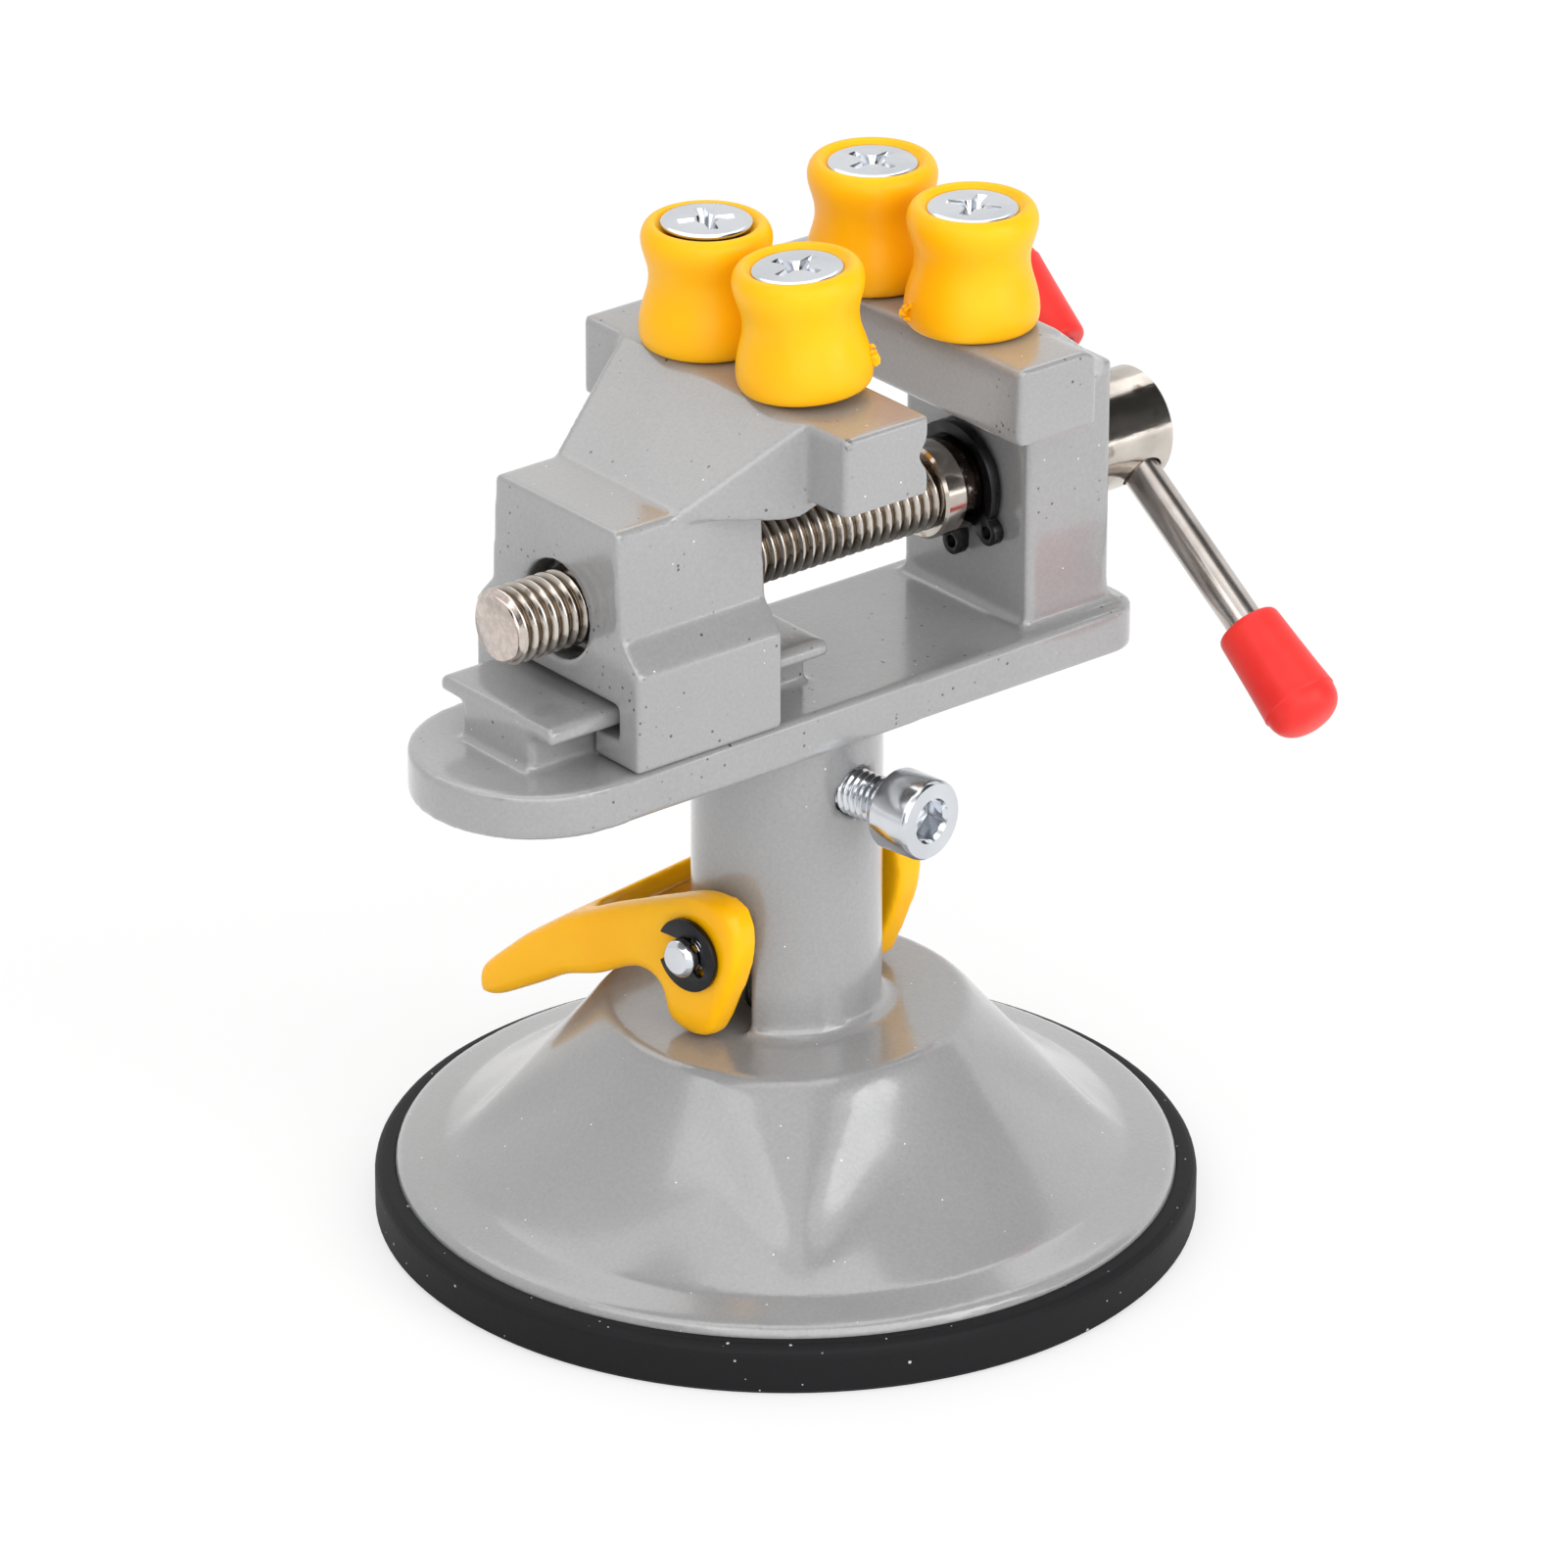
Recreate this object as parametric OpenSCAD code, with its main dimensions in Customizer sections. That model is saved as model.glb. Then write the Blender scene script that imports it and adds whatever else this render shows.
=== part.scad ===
/* [Suction base] */
// Outer radius of the rubber cup
cup_r = 42.5; // [38:0.5:48]
// Height of the cup's outer edge
cup_h = 5.3; // [4.6:0.1:6.5]
// Thickness of the rubber under the casting
cup_floor = 2.4; // [1.8:0.1:3]
// Thickness of the rubber lip round the disc
lip_t = 2.05; // [1.6:0.05:2.6]
// Height of the vacuum space at the middle of the cup, with the lever down
vacuum_h = 2.5; // [2.2:0.1:3]
// Outer radius of the cast disc
disc_r = 40.4; // [37:0.1:41]
// Height of the disc's top edge above the ground
disc_top = 6.5; // [6:0.1:7.5]
// Radius where the cone meets the disc
cone_foot_r = 35.2; // [33:0.1:37]
// Height where the cone meets the disc
cone_foot_z = 7.3; // [7:0.1:8]
// Radius of the flat shoulder on top of the cone
shoulder_r = 19.3; // [17:0.1:21]
// Height of the shoulder above the ground
shoulder_z = 23.3; // [22:0.1:26]
// How far the cone's profile sags between shoulder and foot
cone_sag = 1.3; // [0.5:0.1:2.2]
// Wall of the casting
cast_wall = 2.8; // [2.2:0.1:3.4]
// Half the width between the flats of the ribs at the shoulder
rib_top_half = 18; // [17:0.1:18.6]
// Half the width between the flats of the ribs at the foot
rib_foot_half = 24.9; // [24:0.1:26]
// Turn of the base against the vise, in degrees
base_turn = 8; // [0:1:30]

/* [Column] */
// Radius of the column
column_r = 9.8; // [9:0.1:11]
// Height of the top of the column
column_top = 56.2; // [54:0.1:60]
// Radius of the post that stands in the column
post_r = 6; // [5:0.1:6.5]
// Height of the lower end of the post
post_bottom = 38.8; // [38.6:0.1:42]
// Width of the window for the lever's pin
window_w = 6.4; // [5.6:0.1:7]
// Height of the window above the shoulder
window_h = 13.6; // [13:0.1:14.5]

/* [Cam lever] */
// Height of the pin above the shoulder, with the lever down
pin_lift = 10; // [9.8:0.1:11]
// Radius of the pin
pin_r = 2; // [1.8:0.05:2.3]
// Length of the pin outside the lever, at each end
pin_over = 2.4; // [2:0.1:3]
// Outer radius of the clips on the pin
clip_r = 3.9; // [3.5:0.1:4.5]
// How far the pin drops when the lever is raised
cam_drop = 2; // [1:0.1:2.1]
// Angle through which the lever is raised, in degrees
lever_swing = 65; // [50:1:65]
// Thickness of a lever arm
arm_t = 3.6; // [2.6:0.1:4]
// Gap between the column and each arm
fork_gap = 0.8; // [0.5:0.1:1]
// Reach of the lever from the pin to the middle of the tip
lever_reach = 32.6; // [31:0.2:33]
// Drop of the tip below the pin
lever_dip = 15.5; // [14:0.1:16]
// How far the middle of the tip stands before its corners
grip_bow = 1.8; // [1:0.1:3]
// Distance from the pin to the edge of the grip plate
grip_at = 20.5; // [18:0.1:23]
// Thickness of the grip plate
grip_t = 2.6; // [2:0.1:3]

/* [Pull stem] */
// Radius of the stem that lifts the cup
stem_r = 4; // [3.6:0.1:4.2]
// Radius of the disc that is held in the rubber
stem_disc_r = 9; // [8:0.1:10]
// Thickness of that disc
stem_disc_t = 1.5; // [1.2:0.1:1.8]
// Radius of the spring's wire
wire_r = 0.55; // [0.4:0.05:0.6]
// Turns of the spring
spring_turns = 4; // [3:1:6]

/* [Clamp screw] */
// Radius of the clamp screw's thread
clamp_r = 2.5; // [2:0.1:3]
// Height of the clamp screw above the ground
clamp_z = 49.6; // [47:0.1:51]
// Distance from the column's axis to the back of the head
clamp_head_at = 14.8; // [13:0.1:17]
// Radius of the head
clamp_head_r = 4.25; // [4:0.05:5]
// Length of the head
clamp_head_l = 5; // [4:0.1:6]
// Width across the flats of the socket
socket_w = 4; // [3:0.1:4]
// Depth of the socket
socket_h = 2.6; // [2:0.1:3]

/* [Vise plate] */
// Gap between the column's top and the plate
plate_gap = 0.3; // [0.2:0.1:1]
// Thickness of the plate
plate_t = 4.9; // [4:0.1:6]
// Distance from the post to the centre of the plate's round end
nose_x = 32.3; // [30:0.1:36]
// Radius of the round end
nose_r = 12.6; // [12.2:0.1:14]
// Distance from the post to the plate's rear end
tail_x = 37.4; // [37.2:0.1:38.8]
// Half the width of the plate at its rear end
tail_half = 12; // [11:0.1:12.5]
// Radius of the rear corners
tail_corner = 3.5; // [2:0.1:4]
// Half the width of the rail's flange
flange_half = 9; // [7.6:0.1:9.2]
// Thickness of the rail's flange
flange_t = 1.8; // [1.4:0.1:2]
// Half the width of the rail's stem
rail_stem_half = 5.4; // [4.6:0.1:5.6]
// Height of the rail above the plate
rail_h = 5.8; // [5.4:0.1:6.2]
// Distance from the post to the rail's front end
rail_front = 37.2; // [34:0.1:39]
// Distance from the post to the rail's rear end
rail_rear = 2; // [0:0.1:3]

/* [Fixed jaw] */
// Distance from the post to the clamping face of the fixed jaw
fixed_face = 12.6; // [12:0.1:14]
// Depth of the fixed jaw's head
fixed_head_d = 10.2; // [8.5:0.1:10.4]
// Height of the top of the fixed jaw above the plate
fixed_top = 34.7; // [33:0.1:36]
// Distance from the post to the front of the upright
upright_x = 23.3; // [22.8:0.1:24]
// Thickness of the upright
upright_t = 11.2; // [10:0.1:12]
// Half the width of the upright, and of the movable jaw's body
body_half = 9.75; // [9:0.05:10.5]
// Half the width of both heads
head_half = 20.8; // [19:0.1:22]
// Height of both heads
head_h = 8.3; // [7:0.1:9]

/* [Movable jaw] */
// Opening between the clamping faces
jaw_gap = 11.6; // [9:0.1:12.1]
// Depth of the movable jaw's head
move_head_d = 10.7; // [9:0.1:11]
// How far the head hangs over the body
head_over = 12.2; // [11.4:0.1:12.6]
// Length of the movable jaw's body
move_l = 18.3; // [16:0.1:20]
// Height of the top of the movable jaw above the plate
move_top = 33.2; // [32:0.1:35]
// Height of the flat step above the plate
step_top = 25.1; // [23:0.1:26]
// Length of the flat step
step_l = 7.6; // [6:0.1:9]
// Half the width of the skirt
skirt_half = 13.1; // [12:0.1:14]
// Height of the skirt above the plate
skirt_h = 10.6; // [9:0.1:12]
// Height over which the skirt slopes in to the body
skirt_slope = 3; // [1:0.1:3.4]
// How much wider the body is at the skirt than at its top, to each side
body_draft = 0.7; // [0:0.1:1]
// Width of the neck's flare at the head, to each side
flare = 4.9; // [3:0.1:6]
// Depth of the V groove in the clamping face
vee_d = 1.2; // [0.5:0.1:1.4]
// Half the height of that groove at the clamping face
vee_half = 1.9; // [1:0.1:2.4]
// Radius of the recess round the screw
recess_r = 5.1; // [4.6:0.1:5.6]
// Depth of that recess
recess_d = 3; // [2:0.1:5]

/* [Lead screw] */
// Height of the screw above the plate
screw_h = 13.7; // [13:0.1:14.5]
// Radius over the thread
screw_r = 4; // [3.5:0.1:4.2]
// Distance from the post to the screw's front end
screw_front = 37; // [34:0.1:40]
// Radius of the journal in the upright
journal_r = 5; // [4.6:0.1:5.4]
// Distance from the post to the start of the journal
journal_x = 16.8; // [16:0.1:18]
// Radius of the hub that holds the bar
hub_r = 6; // [5.6:0.1:6.4]
// Length of the hub
hub_l = 11.8; // [10.6:0.1:12]
// Outer radius of the retaining ring
ring_r = 6.3; // [6:0.1:6.5]
// Thickness of the retaining ring
ring_t = 1.2; // [1:0.1:1.3]
// Radius of the ring's lugs as a share of the ring's radius
lug_share = 0.22; // [0.16:0.01:0.24]
// Angle of the ring's opening from straight down, in degrees
ring_turn = 27; // [0:1:60]
// Angle from the middle of the opening to each lug, in degrees
lug_spread = 27; // [22:1:34]

/* [Tommy bar] */
// Distance from the post to the bar
bar_x = 43; // [42.8:0.1:43.2]
// Radius of the bar
bar_r = 1.9; // [1.6:0.1:2.1]
// Half the length over the caps
bar_half = 31.25; // [29:0.25:34]
// How far the bar has slid towards its near end
bar_shift = 7.75; // [0:0.25:12]
// Angle of the bar below level, in degrees
bar_tilt = 34.5; // [0:0.5:60]
// Length of a cap
cap_l = 13; // [10:0.1:15]
// Radius of a cap at its mouth
cap_mouth_r = 3.5; // [3:0.1:3.8]
// Radius of a cap at its domed end
cap_end_r = 4.05; // [3.6:0.05:4.1]
// How deep the bar sits in a cap
cap_depth = 8.5; // [7:0.1:9.5]

/* [Bobbins] */
// Radius of a bobbin over its rims
bobbin_r = 6.75; // [6.2:0.05:7.2]
// Radius of the waist
waist_r = 6; // [5:0.05:6.2]
// Height of the waist as a share of the height of the curved side
waist_share = 0.42; // [0.35:0.01:0.5]
// Height of a bobbin
bobbin_h = 12.9; // [11:0.1:14]
// Distance of each bobbin from the middle line
bobbin_y = 7.8; // [7.4:0.1:9]
// Setback of the fixed bobbins from their clamping face
bobbin_back = 4.65; // [4.4:0.05:5.2]
// Setback of the movable bobbins from their clamping face
move_bobbin_back = 5.15; // [4.9:0.05:5.6]
// Radius of the screw's head
bolt_head_r = 4.6; // [4:0.1:5]
// Radius of the screw's shank
bolt_r = 2; // [1.5:0.1:2.4]
// Length of the screw in the jaw
bolt_bite = 6; // [4:0.1:7]

/* [Fits] */
// Gap between a turning or sliding shaft and its bore
shaft_gap = 0.05; // [0.03:0.01:0.08]
// Gap between sliding faces
slide_gap = 0.3; // [0.2:0.05:0.4]
// Gap between the rail's flange and the jaw's slot, above and beside it
slot_gap = 0.8; // [0.4:0.1:1]
// Gap under the rail's flange
lip_gap = 1.1; // [0.4:0.1:1.3]
// Gap between rubber and a moving piece
soft_gap = 0.3; // [0.25:0.05:0.4]

/* [Hidden] */
$fn = 96;

// Overrun of every cut past its surface
cut = 1;
// Small rounding of cast edges
edge_r = 1.2;
// Chamfer of turned steel ends
steel_chamfer = 0.6;
// Sides of the small bevels at sharp corners
nick = 0.5;
// Width of the flat ring on which the cup stands
cup_foot_w = 5.5;
// Thickness of the rubber membrane
membrane_t = 2.2;
// Radius and height of the boss that holds the stem's disc
cup_boss_r = 11.2;
cup_boss_h = 3.6;
// Width of the step under the casting's inner edge
lip_w = 1.4;
// Rounding of the fixed head's upper back edge
head_back_r = 2;
// Radius of the hollow fillet round the column's foot
root_r = 1.2;

stem_disc_z = vacuum_h + membrane_t;
cup_boss_top = stem_disc_z + stem_disc_t + cup_boss_h / 2;
pin_z = shoulder_z + pin_lift;
// Metal between the ceiling of the casting and the shoulder
shoulder_wall = 2.9;
ceiling_z = shoulder_z - shoulder_wall;
stem_top = post_bottom - cast_wall / 2;
plate_z = column_top + plate_gap;
plate_top = plate_z + plate_t;
screw_z = plate_top + screw_h;
move_face = fixed_face - jaw_gap;
move_back = move_face - head_over;
move_front = move_back - move_l;
fixed_bobbin_x = fixed_face + bobbin_back;
move_bobbin_x = move_face - move_bobbin_back;
fixed_top_z = plate_top + fixed_top;
move_top_z = plate_top + move_top;
upright_back = upright_x + upright_t;
hub_x = upright_back + slide_gap;
hub_end = hub_x + hub_l;
ring_x = upright_x - slide_gap - ring_t - steel_chamfer / 2;
cap_mouth_at = bar_half - cap_l;
// Inner and outer half widths of the lever's fork
fork_in = column_r + fork_gap;
lever_half = fork_in + arm_t;
pin_half = lever_half + pin_over;
// Radius of the cam where it stands on the shoulder, and its loss per degree
cam_r = pin_lift - slide_gap;
cam_rate = cam_drop / lever_swing;
// Angle over which the lobe follows that loss before it is cut back
cam_arc = lever_swing / 5;
// Back and boss of the lever's side view, as shares of the cam radius
boss_shares = [[-0.34, -0.66], [-0.46, -0.38], [-0.58, -0.05], [-0.62, 0.2],
    [-0.6, 0.4], [-0.5, 0.58], [-0.34, 0.66], [-0.12, 0.67], [0.08, 0.62]];
// Upper edge of the handle, as shares of the reach
upper_shares = [[0.38, 0.03], [0.592, -0.078], [0.767, -0.205], [0.902, -0.325], [0.963, -0.38]];
// Tip of the handle, as shares of the reach
tip_shares = [[1, -0.442], [0.988, -0.472], [0.951, -0.485]];
// Lower edge of the handle, from the tip back to the lobe, as shares of the reach
belly_shares = [[0.871, -0.457], [0.675, -0.344], [0.577, -0.282], [0.429, -0.233],
    [0.322, -0.172], [0.261, -0.144], [0.193, -0.144]];
// Depth of the tip as a share of the reach
tip_share = 0.485;
// Front of the lobe, as shares of the cam radius
lobe_shares = [[0.5, -0.55], [0.43, -0.86], [0.36, -0.95], [0.15, -1]];

// Point on a circle about a centre in the plane
function spot(c, r, a) = [c[0] + r * cos(a), c[1] + r * sin(a)];
// Arc as a list of points
function arc(c, r, a0, a1, n) = [for (i = [0:n]) spot(c, r, a0 + (a1 - a0) * i / n)];
// Circular curve from one point to another with a given sag at its middle
function sagged(p, q, s, n) = let (d = q - p, l = norm(d), nrm = [d[1], -d[0]] / l)
    [for (i = [0:n]) let (t = i / n) p + d * t + nrm * s * 4 * t * (1 - t)];

// Block with rounded vertical edges, centred on the middle line
module rounded_block(x0, x1, half, z0, z1, r) {
    translate([0, 0, z0])
    linear_extrude(z1 - z0) {
        translate([x0 + r, -half]) square([x1 - x0 - 2 * r, 2 * half]);
        translate([x0, -half + r]) square([x1 - x0, 2 * half - 2 * r]);
        for (x = [x0 + r, x1 - r])
            for (s = [-1, 1])
                translate([x, s * (half - r)]) circle(r);
    }
}

// Prism with the given outline in X and Z, centred on the middle line
module side_prism(outline, half) {
    rotate([90, 0, 0])
    linear_extrude(2 * half, center = true) polygon(outline);
}

// Prism with the given outline in Y and Z, centred on the pin's middle
module cross_prism(outline, half) {
    rotate([90, 0, 90])
    linear_extrude(2 * half, center = true) polygon(outline);
}

// Turned solid along X from a list of [x, radius] corners
module turned(corners) {
    rotate([0, 90, 0])
    rotate_extrude()
    polygon(concat([[0, corners[0][0]]], [for (c = corners) [c[1], c[0]]],
        [[0, corners[len(corners) - 1][0]]]));
}

// Lever side of the base: everything in the base's own frame
module in_base() {
    rotate([0, 0, base_turn]) children();
}

module suction_cup() {
    lip_r = disc_r + shaft_gap;
    lip_out = lip_r + lip_t;
    foot_in = cup_r - cup_foot_w;
    color([0.08, 0.08, 0.08])
    difference() {
        rotate_extrude()
        polygon(concat(
            [[0, vacuum_h]],
            sagged([cup_boss_r, vacuum_h], [foot_in, 0], -nick, 6),
            [[cup_r - nick, 0], [cup_r, nick]],
            [[lip_out, cup_floor], [lip_out, cup_h - edge_r]],
            arc([lip_out - edge_r, cup_h - edge_r], edge_r, 0, 90, 4),
            [[lip_r, cup_h], [lip_r, cup_floor]],
            [[cone_foot_r - lip_w, cup_floor]],
            sagged([cone_foot_r - 2 * lip_w, cup_floor - nick],
                [cup_boss_r + lip_w, vacuum_h + membrane_t], nick / 2, 6),
            [[cup_boss_r, cup_boss_top], [0, cup_boss_top]]));
        translate([0, 0, stem_disc_z - soft_gap])
            cylinder(h = stem_disc_t + 2 * soft_gap, r = stem_disc_r + soft_gap);
        translate([0, 0, stem_disc_z])
            cylinder(h = cup_boss_top, r = stem_r + soft_gap);
    }
}

// Profile of the casting without its column
module disc_profile() {
    rim_flat = disc_top - edge_r;
    inner_foot = cone_foot_r - cast_wall;
    inner_top = shoulder_r - cast_wall / 2;
    polygon(concat(
        [[disc_r - nick, cup_floor], [disc_r, cup_floor + nick]],
        [[disc_r, rim_flat]],
        arc([disc_r - edge_r, rim_flat], edge_r, 0, 90, 5),
        [[cone_foot_r + edge_r, cone_foot_z - nick / 2]],
        sagged([cone_foot_r, cone_foot_z], [shoulder_r, shoulder_z - nick], -cone_sag, 10),
        [[shoulder_r - nick, shoulder_z]],
        [[column_r + root_r, shoulder_z]],
        [for (a = [0:5]) spot([column_r + root_r, shoulder_z + root_r], root_r, 270 - 18 * a)],
        [[0, shoulder_z + root_r]],
        [[0, ceiling_z], [inner_top, ceiling_z]],
        sagged([inner_top, ceiling_z - nick], [inner_foot, cone_foot_z - cast_wall / 2],
            cone_sag, 10),
        [[inner_foot + nick, cup_floor]]));
}

// Straight cone with its four sides cut flat, which leaves the ribs that run out to points
module ribbed_cone() {
    intersection() {
        rotate_extrude()
        polygon(concat(
            [[cone_foot_r, cone_foot_z], [shoulder_r, shoulder_z - nick]],
            sagged([shoulder_r - cast_wall / 2, shoulder_z - nick],
                [cone_foot_r - cast_wall / 2, cone_foot_z], cone_sag, 10)));
        translate([0, 0, cone_foot_z - nick])
        rotate([0, 0, 45])
            cylinder(h = shoulder_z - cone_foot_z + nick, r1 = rib_foot_half * sqrt(2),
                r2 = rib_top_half * sqrt(2), $fn = 4);
    }
}

module base_casting() {
    color([0.62, 0.62, 0.63])
    in_base()
    difference() {
        union() {
            rotate_extrude() disc_profile();
            ribbed_cone();
            translate([0, 0, shoulder_z])
                cylinder(h = column_top - shoulder_z - nick, r = column_r);
            translate([0, 0, column_top - nick])
                cylinder(h = nick, r1 = column_r, r2 = column_r - nick);
        }
        translate([0, 0, ceiling_z - cut])
            cylinder(h = column_top, r = stem_r + shaft_gap);
        translate([0, 0, post_bottom - slide_gap])
            cylinder(h = column_top, r = post_r + shaft_gap);
        translate([-column_r - root_r - cut, -window_w / 2, shoulder_z])
            cube([2 * (column_r + root_r + cut), window_w, window_h]);
        translate([0, 0, clamp_z])
        rotate([90, 0, 0])
            cylinder(h = column_r + cut, r = clamp_r + shaft_gap);
    }
}

module pull_stem() {
    color([0.7, 0.7, 0.72])
    in_base()
    difference() {
        union() {
            translate([0, 0, stem_disc_z]) cylinder(h = stem_disc_t, r = stem_disc_r);
            translate([0, 0, stem_disc_z])
                cylinder(h = stem_top - stem_disc_z - steel_chamfer, r = stem_r);
            translate([0, 0, stem_top - steel_chamfer])
                cylinder(h = steel_chamfer, r1 = stem_r, r2 = stem_r - steel_chamfer);
        }
        translate([0, 0, pin_z])
        rotate([0, 90, 0])
            cylinder(h = 2 * stem_r + 2 * cut, r = pin_r + shaft_gap, center = true);
    }
}

// Compression spring round the stem, between the ceiling and the cup's boss
module return_spring() {
    coil_r = stem_r + 4 * wire_r;
    z0 = cup_boss_top + wire_r;
    z1 = ceiling_z - wire_r;
    steps = 12 * spring_turns;
    sides = 6;
    rings = [for (i = [0:steps]) let (a = 360 * spring_turns * i / steps, z = z0 + (z1 - z0) * i / steps)
        [for (k = [0:sides - 1]) let (b = 360 * k / sides, r = coil_r + wire_r * cos(b))
            [r * cos(a), r * sin(a), z + wire_r * sin(b)]]];
    side_faces = [for (i = [0:steps - 1]) for (k = [0:sides - 1]) let (n = (k + 1) % sides)
        each [[i * sides + k, i * sides + n, (i + 1) * sides + n],
            [i * sides + k, (i + 1) * sides + n, (i + 1) * sides + k]]];
    color([0.75, 0.75, 0.76])
    polyhedron([for (r = rings) each r], concat(
        [for (f = side_faces) [f[0], f[2], f[1]]],
        [for (k = [1:sides - 2]) [0, k, k + 1]],
        [for (k = [1:sides - 2]) [steps * sides, steps * sides + k + 1, steps * sides + k]]));
}

module lever_pin() {
    groove_at = lever_half + slide_gap / 2;
    groove_r = pin_r - nick;
    clip_t = nick + slide_gap;
    half = [[groove_at, pin_r], [groove_at, groove_r], [groove_at + clip_t, groove_r],
        [groove_at + clip_t, pin_r], [pin_half - nick, pin_r], [pin_half, pin_r - nick]];
    color([0.78, 0.78, 0.8])
    in_base()
    translate([0, 0, pin_z])
    turned(concat([for (i = [len(half) - 1:-1:0]) [-half[i][0], half[i][1]]], half));
}

// Open clip that sits in a groove of the pin, with its mouth towards the handle
module pin_clip(side) {
    clip_t = nick + slide_gap / 2;
    inner_r = pin_r - nick + shaft_gap;
    color([0.07, 0.07, 0.07])
    in_base()
    translate([side * (lever_half + slide_gap / 2 + clip_t / 2 + shaft_gap), 0, pin_z])
    rotate([0, 90, 0])
    linear_extrude(clip_t, center = true)
    difference() {
        circle(clip_r);
        circle(inner_r);
        rotate(90) translate([0, -inner_r]) square([clip_r + cut, 2 * inner_r]);
        for (a = [-48, 33]) rotate(270 + a) translate([inner_r + nick, 0]) circle(1.5 * nick);
    }
}

// Side view of the lever about the pin, with the handle to +Y
function lever_outline() = concat(
    [for (a = [0:cam_arc / 2:cam_arc]) (cam_r - cam_rate * a) * [-sin(a), -cos(a)]],
    [for (p = boss_shares) p * cam_r],
    [for (p = upper_shares) p * lever_reach],
    [for (p = tip_shares) [p[0] * lever_reach, p[1] / tip_share * lever_dip]],
    [for (p = belly_shares) p * lever_reach],
    [for (p = lobe_shares) p * cam_r]);

// Space under the grip plate, which keeps the plate's thickness below its upper edge
function grip_space() = concat(
    [for (p = upper_shares) [p[0] * lever_reach, p[1] * lever_reach - grip_t]],
    [[upper_shares[4][0] * lever_reach, -lever_reach], [0, -lever_reach], [0, 0]]);

// Plan of the lever, with a bowed tip
module lever_plan() {
    bow_r = (pow(lever_half, 2) + pow(grip_bow, 2)) / (2 * grip_bow);
    intersection() {
        translate([-lever_half, -2 * cam_r]) square([2 * lever_half, 2 * cam_r + lever_reach]);
        translate([0, lever_reach - bow_r]) circle(bow_r);
    }
}

module cam_lever() {
    color([0.98, 0.72, 0.13])
    in_base()
    translate([0, 0, pin_z])
    difference() {
        intersection() {
            cross_prism(lever_outline(), lever_half);
            translate([0, 0, -lever_reach]) linear_extrude(2 * lever_reach) lever_plan();
        }
        // Fork round the column, open at the back
        translate([-fork_in, -2 * cam_r, -lever_reach])
            cube([2 * fork_in, grip_at + 2 * cam_r - fork_in / 2, 2 * lever_reach]);
        translate([0, grip_at - fork_in / 2, 0])
        intersection() {
            scale([2, 1, 1]) cylinder(h = 2 * lever_reach, r = fork_in / 2, center = true);
            translate([-fork_in, -cut, -lever_reach])
                cube([2 * fork_in, fork_in, 2 * lever_reach]);
        }
        // Hollow underside of the grip plate
        intersection() {
            cross_prism(grip_space(), fork_in);
            translate([-fork_in, 0, -lever_reach])
                cube([2 * fork_in, lever_reach - arm_t, 2 * lever_reach]);
        }
        rotate([0, 90, 0])
            cylinder(h = 2 * lever_half + 2 * cut, r = pin_r + shaft_gap, center = true);
    }
}

module clamp_screw() {
    tip_at = post_r + slide_gap / 2;
    color([0.76, 0.76, 0.77])
    in_base()
    translate([0, 0, clamp_z])
    rotate([0, 0, -90])
    difference() {
        turned([[tip_at, clamp_r - nick], [tip_at + nick, clamp_r], [clamp_head_at, clamp_r],
            [clamp_head_at, clamp_head_r], [clamp_head_at + clamp_head_l - nick, clamp_head_r],
            [clamp_head_at + clamp_head_l, clamp_head_r - nick]]);
        translate([clamp_head_at + clamp_head_l - socket_h, 0, 0])
        rotate([0, 90, 0])
            cylinder(h = socket_h + cut, r = socket_w / sqrt(3), $fn = 6);
    }
}

// Head of a jaw with its flared neck; x runs away from the clamping face
module jaw_head(depth, top_z, neck_x, step_z, rise_l, back_r) {
    head_z = top_z - head_h;
    neck_z = head_z - cut;
    translate([0, 0, 0])
    intersection() {
        rounded_block(0, depth, head_half, head_z, top_z, nick);
        side_prism(concat([[-cut, head_z - cut], [depth, head_z - cut]],
            arc([depth - back_r, top_z - back_r], back_r, 0, 90, 5), [[-cut, top_z]]),
            head_half + cut);
    }
    intersection() {
        side_prism([[depth / 2, head_z], [depth / 2, top_z], [depth, top_z],
            [rise_l, step_z], [neck_x + body_half, step_z - cut], [neck_x, head_z - 2 * cut]],
            head_half);
        translate([0, 0, head_z - head_h])
        linear_extrude(2 * head_h)
        polygon([[depth / 2, -body_half - flare], [depth, -body_half - flare],
            [rise_l, -body_half], [rise_l + cut, -body_half], [rise_l + cut, body_half],
            [rise_l, body_half], [depth, body_half + flare], [depth / 2, body_half + flare]]);
    }
}

module rail() {
    rail_top = plate_top + rail_h;
    translate([-rail_front, -rail_stem_half, plate_top - cut])
        cube([rail_front - rail_rear, 2 * rail_stem_half, rail_h + cut - flange_t / 2]);
    translate([-rail_front, 0, 0])
    rotate([90, 0, 90])
    linear_extrude(rail_front - rail_rear)
    polygon([[-flange_half, rail_top - flange_t], [flange_half, rail_top - flange_t],
        [flange_half, rail_top - nick], [flange_half - nick, rail_top],
        [nick - flange_half, rail_top], [-flange_half, rail_top - nick]]);
}

module plate() {
    translate([0, 0, plate_z])
    linear_extrude(plate_t) {
        translate([-nose_x, 0]) circle(nose_r);
        polygon([[-nose_x, -nose_r], [tail_x - tail_corner, -tail_half],
            [tail_x - tail_corner, tail_half], [-nose_x, nose_r]]);
        translate([upright_x, tail_corner - tail_half])
            square([tail_x - upright_x, 2 * tail_half - 2 * tail_corner]);
        for (s = [-1, 1])
            translate([tail_x - tail_corner, s * (tail_half - tail_corner)]) circle(tail_corner);
    }
}

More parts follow.
